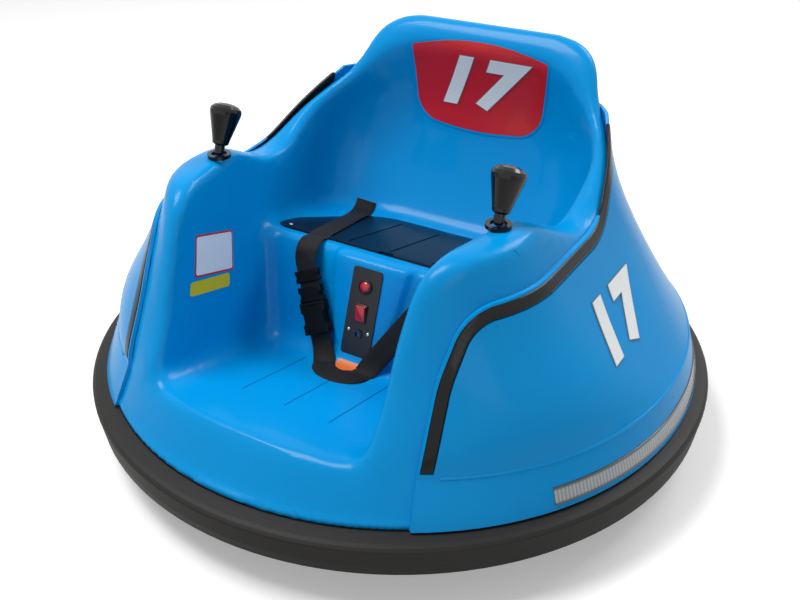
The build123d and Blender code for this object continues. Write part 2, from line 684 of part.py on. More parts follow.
def belt_right():
    strap = hanging(BELT_RIGHT_X, BELT_RIGHT_FOOT, BELT_JOIN + SEAT_GAP, BELT_HIGH)
    return belt_over_seat(BELT_RIGHT_X, -BELT_TURN) + strap


def belt_tail():
    """Webbing from the buckle down to the console's foot."""
    return hanging(BELT_LEFT_X, BELT_LEFT_FOOT, BELT_LOW + BELT_TIP, BUCKLE_LOW)


def belt_diagonal():
    """Lower half of the webbing that climbs the riser to the seat's edge."""
    return hanging(BELT_RIGHT_X, BELT_RIGHT_FOOT, BELT_LOW + BELT_TIP, BELT_JOIN)


def belt_loop():
    """Slack of the webbing on the floor, round the foot of the console."""
    path = FilletPolyline(*[(x, y) for x, y, r in BELT_SLACK],
                          radius=[r for x, y, r in BELT_SLACK], close=True)
    fall = (FLOOR_FRONT - FLOOR_REAR) / (RISER_FOOT_Y - LIP_Y)
    floor = Plane(origin=(0, 0, floor_height(0) + SLACK_LIFT), x_dir=(1, 0, 0), z_dir=(0, fall, 1))
    return extrude(floor * make_face(path), amount=BELT_WALL)


def on_left_belt(low, high, half_width, half_height):
    """Block round the left webbing."""
    return slanted(BELT_LEFT_X, BELT_LEFT_FOOT, low, high, half_width, half_height)


def rounded_buckle(low, high, half_width, half_height):
    """Moulded piece of the buckle, with rounded long edges."""
    body = on_left_belt(low, high, half_width, half_height)
    along = body.edges().sort_by(Edge.length)[-8:]
    return fillet(along, BUCKLE_ROUND)


def belt_slider():
    slider = rounded_buckle(SLIDER_LOW, SLIDER_HIGH, SLIDER_HALF, SLIDER_HALF_HEIGHT)
    slot = BELT_WIDTH / 2 + SEAT_GAP
    reach = SLIDER_HALF
    return slider - on_left_belt(SLIDER_LOW - reach, SLIDER_HIGH + reach, slot,
                                 BELT_WALL / 2 + SEAT_GAP)


def buckle_tongue():
    return rounded_buckle(BUCKLE_HIGH, TONGUE_HIGH - SEAT_GAP, TONGUE_HALF, TONGUE_HALF_HEIGHT)


def buckle_body():
    return rounded_buckle(BUCKLE_LOW + SEAT_GAP, BUCKLE_HIGH, BUCKLE_HALF, BUCKLE_HALF_HEIGHT)


PIECES = {
    "cockpit_tub": cockpit_tub,
    "outer_shell": outer_shell,
    "bumper_ring": bumper_ring,
    "base_tray": base_tray,
    "battery": battery,
    "seat_cover": seat_cover,
    "switch_panel": switch_panel,
    "charge_socket": charge_socket,
    "power_light": power_light,
    "rocker_switch": rocker_switch,
    "belt_left": belt_left,
    "belt_tail": belt_tail,
    "belt_right": belt_right,
    "belt_diagonal": belt_diagonal,
    "belt_loop": belt_loop,
    "belt_slider": belt_slider,
    "buckle_tongue": buckle_tongue,
    "buckle_body": buckle_body,
}
# One of each on either side of the car, modelled on the +X side.
PAIRS = {
    "light_strip": light_strip,
    "base_lens": base_lens,
    "joystick_collar": joystick_collar,
    "joystick": joystick,
    "drive_unit": drive_unit,
    "drive_tyre": drive_tyre,
    "drive_hub": drive_hub,
    "drive_axle": drive_axle,
}
CASTER_PIECES = {
    "caster_mount": caster_mount,
    "caster_fork": caster_fork,
    "caster_wheel": caster_wheel,
    "caster_pin": caster_pin,
}

if __name__ == "__main__":
    os.makedirs("parts", exist_ok=True)
    pieces = {name: build() for name, build in PIECES.items()}
    for name, build in PAIRS.items():
        piece = build()
        pieces[name + "_left"] = piece
        pieces[name + "_right"] = mirrored(piece)
    for name, build in CASTER_PIECES.items():
        for end, y in CASTER_Y.items():
            pieces[f"{name}_{end}"] = build(y)
    for name, piece in pieces.items():
        print(name, round(piece.volume), piece.is_valid, len(piece.solids()))
        export_step(piece, f"parts/{name}.step")
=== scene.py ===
# %% [markdown]
# # A child's round bumper car
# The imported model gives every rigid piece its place, in metres. This lesson finishes it:
# glossy moulded plastic, rubber, webbing, lamps and small trim. The car faces -Y, its
# mirror plane is X = 0, and +X is the rider's left.

# %% Load the frame
import math

import bmesh
import bpy
import numpy as np
import openvdb
from mathutils import Matrix, Vector
from mathutils.bvhtree import BVHTree


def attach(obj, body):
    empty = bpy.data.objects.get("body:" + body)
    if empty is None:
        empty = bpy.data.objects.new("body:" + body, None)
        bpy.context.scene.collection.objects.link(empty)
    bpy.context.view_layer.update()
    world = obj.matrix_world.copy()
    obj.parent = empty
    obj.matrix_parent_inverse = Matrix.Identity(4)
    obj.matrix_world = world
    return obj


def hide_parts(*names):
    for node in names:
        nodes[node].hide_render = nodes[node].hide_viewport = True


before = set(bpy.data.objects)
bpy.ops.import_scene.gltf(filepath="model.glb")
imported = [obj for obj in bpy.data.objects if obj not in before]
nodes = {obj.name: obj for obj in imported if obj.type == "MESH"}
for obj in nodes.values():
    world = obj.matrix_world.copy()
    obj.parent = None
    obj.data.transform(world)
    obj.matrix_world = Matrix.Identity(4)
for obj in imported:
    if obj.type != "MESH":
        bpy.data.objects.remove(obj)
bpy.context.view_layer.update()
MM = 0.001

# %% [markdown]
# ## Camera
# A product picture is taken from a little above with a normal lens. The camera stands on a
# sphere round a target inside the car: a turn, a rise above the horizon and a distance are
# easier to read, and to change, than three coordinates.

# %% Camera
CAMERA_TARGET = Vector((0.0, -0.00094, 0.12657))
CAMERA_TURN, CAMERA_RISE = math.radians(31.17), math.radians(30.32)
CAMERA_DISTANCE = 1.1477
CAMERA_LENS, SENSOR_WIDTH = 42.97, 36.0  # millimetres


def placed(name, data):
    """New object in the scene that shows some data."""
    item = bpy.data.objects.new(name, data)
    bpy.context.scene.collection.objects.link(item)
    return item


towards_camera = Vector((
    math.sin(CAMERA_TURN) * math.cos(CAMERA_RISE),
    -math.cos(CAMERA_TURN) * math.cos(CAMERA_RISE),
    math.sin(CAMERA_RISE),
))
camera = placed("camera", bpy.data.cameras.new("camera"))
camera.data.lens = CAMERA_LENS
camera.data.sensor_width = SENSOR_WIDTH
camera.location = CAMERA_TARGET + towards_camera * CAMERA_DISTANCE
camera.rotation_mode = "QUATERNION"
camera.rotation_quaternion = (-towards_camera).to_track_quat("-Z", "Y")
bpy.context.scene.camera = camera
bpy.context.scene.view_settings.view_transform = "Standard"
print("camera at", [round(v, 3) for v in camera.location])

# %% [markdown]
# ## Material nodes
# Every finish is a small node tree, and the same few nodes come back in all of them. So
# each kind of node gets a short function that sets its numbers, links its inputs and
# returns the output that the next node needs.

# %% Node helpers
def feed(tree, socket, value):
    """Gives a socket a link or a plain value."""
    if isinstance(value, bpy.types.NodeSocket):
        tree.links.new(value, socket)
    else:
        socket.default_value = value


def math_node(tree, operation, *values):
    """Result of a math node."""
    node = tree.nodes.new("ShaderNodeMath")
    node.operation = operation
    for socket, value in zip(node.inputs, values):
        feed(tree, socket, value)
    return node.outputs[0]


def range_node(tree, value, smooth=False, **limits):
    """Value carried from one range to another: from_min, from_max, to_min and to_max."""
    node = tree.nodes.new("ShaderNodeMapRange")
    if smooth:
        node.interpolation_type = "SMOOTHSTEP"
    for label, limit in limits.items():
        node.inputs[label.replace("_", " ").title()].default_value = limit
    tree.links.new(value, node.inputs["Value"])
    return node.outputs["Result"]


def mix_node(tree, factor, a, b):
    """Mix of two colours."""
    node = tree.nodes.new("ShaderNodeMix")
    node.data_type = "RGBA"
    for label, value in (("Factor", factor), ("A", a), ("B", b)):
        feed(tree, node.inputs[label], value)
    return node.outputs["Result"]


def noise_node(tree, place, scale, detail):
    """Noise at a place, from 0 to 1."""
    node = tree.nodes.new("ShaderNodeTexNoise")
    node.inputs["Scale"].default_value = scale
    node.inputs["Detail"].default_value = detail
    tree.links.new(place, node.inputs["Vector"])
    return node.outputs["Fac"]


def bump_node(tree, height, strength, distance):
    """Bump on the shader, over a bump that it may have already."""
    node = tree.nodes.new("ShaderNodeBump")
    node.inputs["Strength"].default_value = strength
    node.inputs["Distance"].default_value = distance
    tree.links.new(height, node.inputs["Height"])
    normal = tree.nodes["Principled BSDF"].inputs["Normal"]
    if normal.is_linked:
        tree.links.new(normal.links[0].from_socket, node.inputs["Normal"])
    tree.links.new(node.outputs["Normal"], normal)
    return node


def object_axes(tree):
    """X, Y and Z of the Object coordinates."""
    split = tree.nodes.new("ShaderNodeSeparateXYZ")
    tree.links.new(tree.nodes.new("ShaderNodeTexCoord").outputs["Object"], split.inputs["Vector"])
    return split.outputs


print("helpers for math, range, mix, noise and bump nodes are ready")

# %% [markdown]
# One helper makes a plain shader with its numbers on the sockets. A second one adds what a
# bare colour lacks: slow clouds that shift the colour and the roughness a little, and a
# fine grain in the bump. All of it reads Object coordinates, so the grain keeps its real
# size on every piece.

# %% Plain and grained finishes
GRAIN_DEPTH = 0.6 * MM
CLOUD_DETAIL, GRAIN_DETAIL = 4.0, 3.0


def linear(r, g, b):
    """Colour from 0 to 255 screen values to the linear values that Blender mixes."""
    return [((c / 255 + 0.055) / 1.055) ** 2.4 if c > 10 else c / 255 / 12.92 for c in (r, g, b)] + [1.0]


def scaled(colour, share):
    """Colour made darker or lighter by a share, no lighter than white."""
    return [min(1.0, c * share) for c in colour[:3]] + [1.0]


def finish_of(name, colour, roughness, metallic=0.0, coat=0.0, coat_roughness=0.05, shine=0.5):
    """New material with its plain numbers on the shader's own sockets."""
    material = bpy.data.materials.new(name)
    material.use_nodes = True
    shader = material.node_tree.nodes["Principled BSDF"]
    for label, value in (("Base Color", colour), ("Roughness", roughness), ("Metallic", metallic),
                         ("Coat Weight", coat), ("Coat Roughness", coat_roughness), ("IOR", 1.5),
                         ("Specular IOR Level", shine)):
        shader.inputs[label].default_value = value
    return material


def grained(name, rgb, roughness, grain=0.0, scale=900.0, tint=0.06, gloss=0.05, cloud=6.0, **look):
    """Finish with clouds in colour and roughness, and a fine grain in the bump."""
    colour = linear(*rgb)
    material = finish_of(name, colour, roughness, **look)
    tree = material.node_tree
    shader = tree.nodes["Principled BSDF"]
    place = tree.nodes.new("ShaderNodeTexCoord").outputs["Object"]
    clouds = noise_node(tree, place, cloud, CLOUD_DETAIL)
    tinted = mix_node(tree, clouds, scaled(colour, 1 - tint), scaled(colour, 1 + tint))
    tree.links.new(tinted, shader.inputs["Base Color"])
    spread = range_node(tree, clouds, to_min=roughness - gloss, to_max=roughness + gloss)
    tree.links.new(spread, shader.inputs["Roughness"])
    if grain:
        bump_node(tree, noise_node(tree, place, scale, GRAIN_DETAIL), grain, GRAIN_DEPTH)
    return material


print("grain is", round(GRAIN_DEPTH / MM, 1), "mm deep at full strength")

# %% [markdown]
# ## Plastics, rubber and metal
# The body is polypropylene, moulded in a clear blue and polished. Its gloss comes from a
# low roughness, with a thin coat for sharp reflections on the rounded edges. The ring and
# the tray are dull black with a moulded grain, and the trim lies between them.

# %% Finishes of the hard pieces
BODY_LOOK = dict(rgb=(0, 146, 216), roughness=0.25, coat=0.08, coat_roughness=0.03, shine=0.09,
                 grain=0.03, scale=600, tint=0.03, gloss=0.03)
body_blue = grained("glossy_blue_plastic", **BODY_LOOK)
ring_plastic = grained("black_ring_plastic", (26, 24, 22), 0.5, grain=0.16, scale=1400,
                       gloss=0.06, shine=0.25)
tray_plastic = grained("dark_grey_plastic", (40, 41, 43), 0.5, grain=0.15, scale=1100)
cover_plastic = grained("navy_cover_plastic", (2, 19, 35), 0.36, grain=0.12, scale=1300, shine=0.2)
panel_plastic = grained("black_panel_plastic", (13, 16, 20), 0.3, grain=0.06, scale=1300)
buckle_plastic = grained("black_buckle_plastic", (8, 8, 9), 0.42, grain=0.1, scale=1300, shine=0.15)
strip_plastic = grained("smoked_strip_plastic", (14, 13, 12), 0.2, gloss=0.04, coat=0.15, shine=0.18)
knob_plastic = grained("black_knob_plastic", (8, 9, 10), 0.16, gloss=0.04, coat=0.3, shine=0.25)
lens_plastic = grained("clear_lens_plastic", (172, 176, 178), 0.08, gloss=0.03, coat=0.5)
red_plastic = grained("red_lamp_plastic", (205, 20, 34), 0.16, coat=0.5)
tyre_rubber = grained("wheel_rubber", (30, 30, 31), 0.62, grain=0.2, scale=1100)
hub_plastic = grained("hub_plastic", (72, 74, 78), 0.4, grain=0.1)
steel = grained("zinc_plated_steel", (184, 186, 190), 0.3, gloss=0.08, cloud=60, metallic=1.0)
battery_case = grained("battery_case", (38, 40, 44), 0.45, grain=0.1)
print("materials with the packed ones:", len(bpy.data.materials))

# %% [markdown]
# The footwell has three shallow grooves from the riser towards the lip. They are under
# 2 mm wide, finer than the grid that the tub is made on, so they belong to its finish: a
# triangle wave across X gives the distance to the nearest groove, and a mask keeps it to
# the floor. The result drives the bump, and a slightly darker blue that is painted shade
# in the grooves.

# %% Tub finish with floor grooves
GROOVE_PITCH, GROOVE_CORE, GROOVE_EDGE = 56 * MM, 0.2 * MM, 1.3 * MM
GROOVE_REACH, GROOVE_START, GROOVE_END, GROOVE_TOP = 80 * MM, -232 * MM, -118 * MM, 135 * MM
GROOVE_SHADE_BLUE = linear(0, 92, 160)
tub_blue = grained("glossy_blue_tub_plastic", **BODY_LOOK)
tree = tub_blue.node_tree
x, y, z = object_axes(tree)
away = math_node(tree, "PINGPONG", x, GROOVE_PITCH / 2)
groove = range_node(tree, away, True, from_min=GROOVE_CORE, from_max=GROOVE_EDGE, to_min=1.0, to_max=0.0)
for test, value, limit in (("LESS_THAN", math_node(tree, "ABSOLUTE", x), GROOVE_REACH),
                           ("GREATER_THAN", y, GROOVE_START), ("LESS_THAN", y, GROOVE_END),
                           ("LESS_THAN", z, GROOVE_TOP)):
    groove = math_node(tree, "MULTIPLY", groove, math_node(tree, test, value, limit))
# Painted shade: the grooves get a darker blue for the shade that falls in them.
colour_in = tree.nodes["Principled BSDF"].inputs["Base Color"]
share = math_node(tree, "MULTIPLY", groove, 0.75)
tree.links.new(mix_node(tree, share, colour_in.links[0].from_socket, GROOVE_SHADE_BLUE), colour_in)
bump_node(tree, groove, 0.8, 1.0 * MM).invert = True
print("groove pitch in mm:", round(GROOVE_PITCH / MM))

# %% [markdown]
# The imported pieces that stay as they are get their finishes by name. So do the ones that
# finer pieces will stand for, because some of those start as copies of them.

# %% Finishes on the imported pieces
def put_on(material, *names):
    """Gives CAD nodes a material."""
    for name in names:
        materials = nodes[name].data.materials
        materials.clear()
        materials.append(material)


put_on(body_blue, "cockpit_tub", "outer_shell")
put_on(ring_plastic, "bumper_ring")
put_on(tray_plastic, "base_tray", "drive_unit_left", "drive_unit_right")
put_on(cover_plastic, "seat_cover")
put_on(panel_plastic, "switch_panel", "charge_socket")
put_on(buckle_plastic, "belt_slider", "buckle_tongue", "buckle_body")
put_on(strip_plastic, "light_strip_left", "light_strip_right")
put_on(knob_plastic, "joystick_left", "joystick_right", "joystick_collar_left", "joystick_collar_right")
put_on(lens_plastic, "base_lens_left", "base_lens_right")
put_on(red_plastic, "power_light", "rocker_switch")
put_on(tyre_rubber, "drive_tyre_left", "drive_tyre_right", "caster_wheel_front", "caster_wheel_rear")
put_on(hub_plastic, "drive_hub_left", "drive_hub_right")
put_on(steel, "drive_axle_left", "drive_axle_right", "caster_fork_front", "caster_fork_rear",
       "caster_pin_front", "caster_pin_rear", "caster_mount_front", "caster_mount_rear")
put_on(battery_case, "battery")
print("materials with the tub's own:", len(bpy.data.materials))

# %% [markdown]
# ## Webbing
# The lap belt is woven from black polyester, a twill of fine threads. The threads run
# along the strap, so the pattern follows a UV map in real metres, u across and v along, and
# not the room's axes. Two waves at a slant to each other make the twill, and a third one
# along the strap adds ribs. The weave is in the bump, and in the colour as painted
# highlights on the threads and painted shade between them.

# %% Woven finish
WEAVE_PITCH = 2.2 * MM
WAVE_LENGTH = 0.314  # metres from wave to wave where the texture's scale is 1
WAVES = ((0.9, 1.0), (-0.9, 1.0), (0.0, 0.55))  # slant in radians, share of the pitch


def webbing_finish(name, colour, pitch):
    """Twill weave on the piece's own UV map, which is in metres."""
    material = finish_of(name, colour, 0.7, shine=0.25)
    tree = material.node_tree
    shader = tree.nodes["Principled BSDF"]
    shader.inputs["Sheen Weight"].default_value = 0.04
    shader.inputs["Sheen Roughness"].default_value = 0.5
    place = tree.nodes.new("ShaderNodeUVMap")
    place.uv_map = "strap"
    threads = []
    for slant, share in WAVES:
        turn = tree.nodes.new("ShaderNodeMapping")
        turn.inputs["Rotation"].default_value = (0, 0, slant)
        tree.links.new(place.outputs["UV"], turn.inputs["Vector"])
        wave = tree.nodes.new("ShaderNodeTexWave")
        for label, value in (("Scale", WAVE_LENGTH / (pitch * share)), ("Distortion", 0.4), ("Detail", 1.0)):
            wave.inputs[label].default_value = value
        tree.links.new(turn.outputs["Vector"], wave.inputs["Vector"])
        threads.append(wave.outputs["Fac"])
    twill = math_node(tree, "MULTIPLY", threads[0], threads[1])
    ribs = math_node(tree, "MULTIPLY_ADD", threads[2], 0.35, twill)
    # Painted highlight and shade: the crowns of the threads are painted lighter and the hollows between them
    # darker.
    weave_highlight_and_shade = mix_node(tree, ribs, scaled(colour, 0.45), scaled(colour, 1.7))
    tree.links.new(weave_highlight_and_shade, shader.inputs["Base Color"])
    bump_node(tree, ribs, 0.5, 0.4 * MM)
    return material


webbing_black = webbing_finish("black_webbing", linear(11, 11, 12), WEAVE_PITCH)
print("weave pitch in mm:", round(WEAVE_PITCH / MM, 1))

# %% [markdown]
# ## Distance fields
# A blow-moulded tub has no sharp edge, and its inner corners are wide. A bevel can't give
# that on loose triangles, so the tub is treated as a volume. A field holds, on a grid of
# points, the distance to the surface: below 0 inside, above 0 outside. In a field, moving
# a surface is adding a number, joining two is taking the smaller value, and cutting is
# taking the larger. Openvdb turns a mesh into a field and a field back into a mesh.

# %% Meshes to fields and back
VOXEL = 3.3 * MM
GRID_LOW = (-114, -114, 16)  # first point of the grid, counted in voxels
GRID_SIZE = (229, 229, 122)
axes = [((np.arange(n) + low) * VOXEL).astype(np.float32) for n, low in zip(GRID_SIZE, GRID_LOW)]
GX, GY, GZ = axes[0][:, None, None], axes[1][None, :, None], axes[2][None, None, :]


def mesh_arrays(mesh):
    """Points and triangles of a mesh."""
    mesh.calc_loop_triangles()
    points = np.empty(len(mesh.vertices) * 3, np.float32)
    mesh.vertices.foreach_get("co", points)
    corners = np.empty(len(mesh.loop_triangles) * 3, np.int32)
    mesh.loop_triangles.foreach_get("vertices", corners)
    return points.reshape(-1, 3), corners.reshape(-1, 3).astype(np.uint32)


def level_set(points, faces, voxel, half_width):
    """Openvdb grid of the distance to a closed surface of triangles or quads."""
    kind = "triangles" if faces.shape[1] == 3 else "quads"
    return openvdb.FloatGrid.createLevelSetFromPolygons(
        points, transform=openvdb.createLinearTransform(voxelSize=voxel),
        halfWidth=half_width, **{kind: faces})


def field_of(points, faces, reach):
    """Distance to a closed surface on the grid, capped at the reach."""
    values = np.empty(GRID_SIZE, np.float32)
    level_set(points, faces, VOXEL, reach / VOXEL).copyToArray(values, ijk=GRID_LOW)
    return values


def grid_of(values):
    """Openvdb grid from a field."""
    grid = openvdb.FloatGrid(1.0)
    grid.copyFromArray(values.astype(np.float32), ijk=GRID_LOW)
    grid.transform = openvdb.createLinearTransform(voxelSize=VOXEL)
    return grid


print("grid of", GRID_SIZE, "points,", round(VOXEL / MM, 1), "mm apart")

# %% [markdown]
# Simple solids have a formula for their distance: a box, an upright drum, and the side of a
# plane. Two fields are joined or cut with a fillet by bending the smaller value a little
# where both are close.

# %% Solids and unions in a field
def box_field(low, high):
    """Distance to a box between two corners."""
    gaps = [np.maximum(a - g, g - b) for g, a, b in zip((GX, GY, GZ), low, high)]
    outside = np.sqrt(sum(np.maximum(gap, 0) ** 2 for gap in gaps))
    return outside + np.minimum(np.maximum(np.maximum(gaps[0], gaps[1]), gaps[2]), 0)


def drum_field(radius, low, high):
    """Distance to an upright drum round the middle."""
    side = np.sqrt(GX ** 2 + GY ** 2) - radius
    ends = np.maximum(low - GZ, GZ - high)
    outside = np.sqrt(np.maximum(side, 0) ** 2 + np.maximum(ends, 0) ** 2)
    return outside + np.minimum(np.maximum(side, ends), 0)


def plane_field(point, normal):
    """Signed distance from a plane, over 0 on the side of its normal."""
    n = np.array(normal, np.float32) / np.linalg.norm(normal)
    return (GX - point[0]) * n[0] + (GY - point[1]) * n[1] + (GZ - point[2]) * n[2]


def calmed(values, passes=1):
    """The field with the ripples of the grid smoothed away: a small blur along each axis."""
    for _ in range(passes):
        for axis in (0, 1, 2):
            values = (np.roll(values, 1, axis) + 2 * values + np.roll(values, -1, axis)) / 4
    return values


def soft_union(a, b, blend):
    """Union of two fields, with a fillet of about this size where they meet."""
    h = np.maximum(blend - np.abs(a - b), 0) / blend
    return np.minimum(a, b) - h * h * blend / 4


def rounded_most(fields, blend):
    """Space inside every one of the fields, with its edges rounded."""
    result = fields[0]
    for other in fields[1:]:
        result = -soft_union(-result, -other, blend)
    return result


print("values in a field:", GX.size * GY.size * GZ.size)

# %% [markdown]
# ## Planes of the cockpit
# The seat falls towards the backrest, the riser in front of it leans, and the footwell's
# floor climbs to the front lip. Each is a plane, so a function gives its height or place,
# and a matrix carries flat work, such as a label or a screw, onto it.

# %% Seat, riser and floor
RISER_FOOT, RISER_TOP, FRONT_LIP = (-0.097, 0.087), (-0.054, 0.208), (-0.297, 0.131)  # along Y, height
SEAT_FALL = 0.235
FLOOR_CLIMB = (FRONT_LIP[1] - RISER_FOOT[1]) / (RISER_FOOT[0] - FRONT_LIP[0])
RISER_RUN, RISER_RISE = RISER_TOP[0] - RISER_FOOT[0], RISER_TOP[1] - RISER_FOOT[1]
RISER_LEAN = math.atan2(RISER_RUN, RISER_RISE)
RISER_UP = Vector((0, math.sin(RISER_LEAN), math.cos(RISER_LEAN)))


def seat_z(y):
    """Height of the seat."""
    return RISER_TOP[1] - SEAT_FALL * (y - RISER_TOP[0])


def floor_z(y):
    """Height of the footwell's floor."""
    return RISER_FOOT[1] + FLOOR_CLIMB * (RISER_FOOT[0] - y)


def frame_at(across, up, place):
    """Matrix that carries flat work onto a plane: x across, y up, z out of it."""
    across, up = Vector(across).normalized(), Vector(up).normalized()
    matrix = Matrix((across, up, across.cross(up))).transposed().to_4x4()
    matrix.translation = Vector(place)
    return matrix


def riser_frame(x, z, proud=0.0):
    """Plane on the riser at a height, moved out of it by an amount."""
    y = RISER_FOOT[0] + RISER_RUN * (z - RISER_FOOT[1]) / RISER_RISE
    return frame_at((1, 0, 0), RISER_UP, (x, y - proud / math.cos(RISER_LEAN), z))


seat_frame = frame_at((1, 0, 0), (0, 1, -SEAT_FALL), (0, 0, seat_z(0)))
riser_out = riser_frame(0, RISER_TOP[1]).col[2].to_3d()
print("riser leans", round(math.degrees(RISER_LEAN), 1), "degrees")

# %% [markdown]
# ## The tub
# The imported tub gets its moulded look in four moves. The hollows underneath are filled, so
# that rounding doesn't eat the thin seat. Then a ball is rolled: inwards and out again
# rounds the outer edges, outwards and in again rounds the corners inside. Rolling thins the
# crest of the backrest, so it is filled again. Then the foot is cut flat, and the flange,
# the console and the hollows follow.

# %% Rolling ball
OUTER_ROUND, INNER_ROUND = 5 * MM, 18 * MM
TUB_FOOT, TUB_RADIUS = 80 * MM, 341 * MM
WHEEL_WELL = ((-0.232, -0.060, 0.0), (0.232, 0.110, 0.128))
BATTERY_BAY = ((-0.140, -0.040, 0.0), (0.140, 0.104, 0.300))
SEAT_WALL = 10 * MM
PACKED_REACH, STEP_REACH, LAST_REACH = 12 * MM, 7 * MM, 14 * MM
packed = field_of(*mesh_arrays(nodes["cockpit_tub"].data), PACKED_REACH)
under_seat = (GZ - (seat_z(GY) - SEAT_WALL)) / math.hypot(1, SEAT_FALL)
hollows = np.minimum(box_field(*WHEEL_WELL), np.maximum(box_field(*BATTERY_BAY), under_seat))
filled = np.minimum(np.minimum(packed, hollows - 1 * MM), drum_field(TUB_RADIUS, 0.0, TUB_FOOT + 1 * MM))
points, quads = grid_of(filled).convertToQuads(0.0)
for step in (-OUTER_ROUND, OUTER_ROUND + INNER_ROUND, -INNER_ROUND):
    field = calmed(field_of(points, quads, abs(step) + STEP_REACH))
    points, quads = grid_of(field).convertToQuads(step)
rolled = calmed(field_of(points, quads, LAST_REACH), 2)
print("rounded surface:", len(quads), "faces")

# %% [markdown]
# Rolling wears the thin crest of the backrest down, so the field grows there again, more
# with height. Taking a length from a field moves its surface outwards.

# %% Crest of the backrest
CREST_FROM, CREST_TO, CREST_GROWTH = 355 * MM, 400 * MM, 3.5 * MM
share = np.clip((GZ - CREST_FROM) / (CREST_TO - CREST_FROM), 0, 1)
rolled = rolled - CREST_GROWTH * share * share * (3 - 2 * share)
print("crest grows by", round(CREST_GROWTH / MM, 1), "mm")

# %% [markdown]
# The console is a shallow block on the riser, narrower at its foot. In the field it is the
# space between six planes. A small fillet joins it to the riser, as moulds need one.

# %% Console and flange
CONSOLE_PROUD, CONSOLE_DEEP, CONSOLE_EDGE = 8 * MM, 12 * MM, 7 * MM
CONSOLE_HALF, CONSOLE_SPREAD, CONSOLE_LENGTH = 30 * MM, 20 * MM, 117 * MM
CONSOLE_FOOT, CONSOLE_MIDDLE, CONSOLE_TOP = 84 * MM, 145 * MM, 206.5 * MM
FLANGE_RADIUS, FLANGE_TOP, FLANGE_FILLET, CONSOLE_FILLET = 340.5 * MM, 85.2 * MM, 7 * MM, 4 * MM
front, back = (plane_field(riser_frame(0, CONSOLE_MIDDLE, proud).translation, riser_out)
               for proud in (CONSOLE_PROUD, -CONSOLE_DEEP))
flank = CONSOLE_SPREAD / (CONSOLE_LENGTH / math.cos(RISER_LEAN))
sides = [plane_field(riser_frame(side * CONSOLE_HALF, RISER_FOOT[1]).translation,
                     Vector((side, 0, 0)) - flank * RISER_UP) for side in (-1, 1)]
console = rounded_most([front, *sides, plane_field((0, 0, CONSOLE_TOP), (0, 0, 1))], CONSOLE_EDGE)
console = np.maximum(np.maximum(console, -back), CONSOLE_FOOT - GZ)

tub_field = np.maximum(rolled, TUB_FOOT - GZ)
tub_field = soft_union(tub_field, drum_field(FLANGE_RADIUS, TUB_FOOT, FLANGE_TOP), FLANGE_FILLET)
tub_field = np.maximum(tub_field, TUB_FOOT - GZ)
tub_field = np.maximum(soft_union(tub_field, console, CONSOLE_FILLET), -hollows)
print("console's flank slope:", round(flank, 3))

# %% [markdown]
# The seat cover lies in a recess of the seat. Its outline is a polygon with arcs at its
# corners, given as corner and radius. The same outline cuts the recess here and makes the
# cover later, so the two always fit. The distance to it is worked out in the seat's plane.

# %% Outlines with round corners
def rounded_outline(corners, steps=8):
    """Points round a closed outline from its corners: x, y and radius of each."""
    points = []
    for i, (x, y, radius) in enumerate(corners):
        here = Vector((x, y))
        before = Vector(corners[i - 1][:2]) - here
        after = Vector(corners[(i + 1) % len(corners)][:2]) - here
        half = before.angle(after) / 2
        reach = radius / math.tan(half)
        start, end = here + before.normalized() * reach, here + after.normalized() * reach
        centre = here + (before.normalized() + after.normalized()).normalized() * radius / math.sin(half)
        for k in range(steps + 1):
            arm = (start - centre).lerp(end - centre, k / steps).normalized() * radius
            points.append(tuple(centre + arm))
    return points


def block_outline(half_x, half_y, radius, steps=4):
    """Rectangle with round corners."""
    return rounded_outline([(-half_x, -half_y, radius), (half_x, -half_y, radius),
                            (half_x, half_y, radius), (-half_x, half_y, radius)], steps)


def outline_field(outline, u, v):
    """Distance to a closed outline for arrays of places in its plane, under 0 inside."""
    nearest = np.full(np.broadcast(u, v).shape, 1.0, np.float32)
    inside = np.zeros(nearest.shape, bool)
    for (ax, ay), (bx, by) in zip(outline, outline[1:] + outline[:1]):
        ex, ey = bx - ax, by - ay
        square = ex * ex + ey * ey
        if square < 1e-12:
            continue
        t = np.clip(((u - ax) * ex + (v - ay) * ey) / square, 0, 1)
        nearest = np.minimum(nearest, (u - ax - t * ex) ** 2 + (v - ay - t * ey) ** 2)
        if ay != by:
            inside ^= ((ay > v) != (by > v)) & (u < ex * (v - ay) / ey + ax)
    return np.sqrt(nearest) * np.where(inside, -1, 1)


COVER_HALF = [(0.157, -0.033, 0.012), (0.157, 0.010, 0.040), (0.096, 0.116, 0.060)]  # x, y, radius
cover_outline = rounded_outline(COVER_HALF + [(-x, y, r) for x, y, r in reversed(COVER_HALF)])
print("points round the cover:", len(cover_outline))

# %% [markdown]
# The recess is what lies inside the outline, in a thin layer under the seat's plane. Two
# turned coordinates, along the seat and above it, take the place of Y and Z.

# %% Recess of the seat cover
RECESS_GAP, RECESS_DEPTH, RECESS_REACH = 0.9 * MM, 4.3 * MM, 20 * MM
seat_angle = math.atan(SEAT_FALL)
along = GY * math.cos(seat_angle) - (GZ - seat_z(0)) * math.sin(seat_angle)
above = GY * math.sin(seat_angle) + (GZ - seat_z(0)) * math.cos(seat_angle)
recess = np.maximum(-above - RECESS_DEPTH, above - RECESS_REACH)
recess = np.maximum(outline_field(cover_outline, GX, along) + RECESS_GAP, recess)
tub_field = np.maximum(tub_field, -recess)
print("recess is", round(RECESS_DEPTH / MM, 1), "mm deep")

# %% [markdown]
# The field becomes a mesh. Where the tub is nearly flat, its cells are merged a little, so
# that the mesh stays light. Its points lie evenly, so smooth shading is enough, and the
# recess and the foot keep their edges through a sharp angle.

# %% Tub mesh
MERGING = 0.04


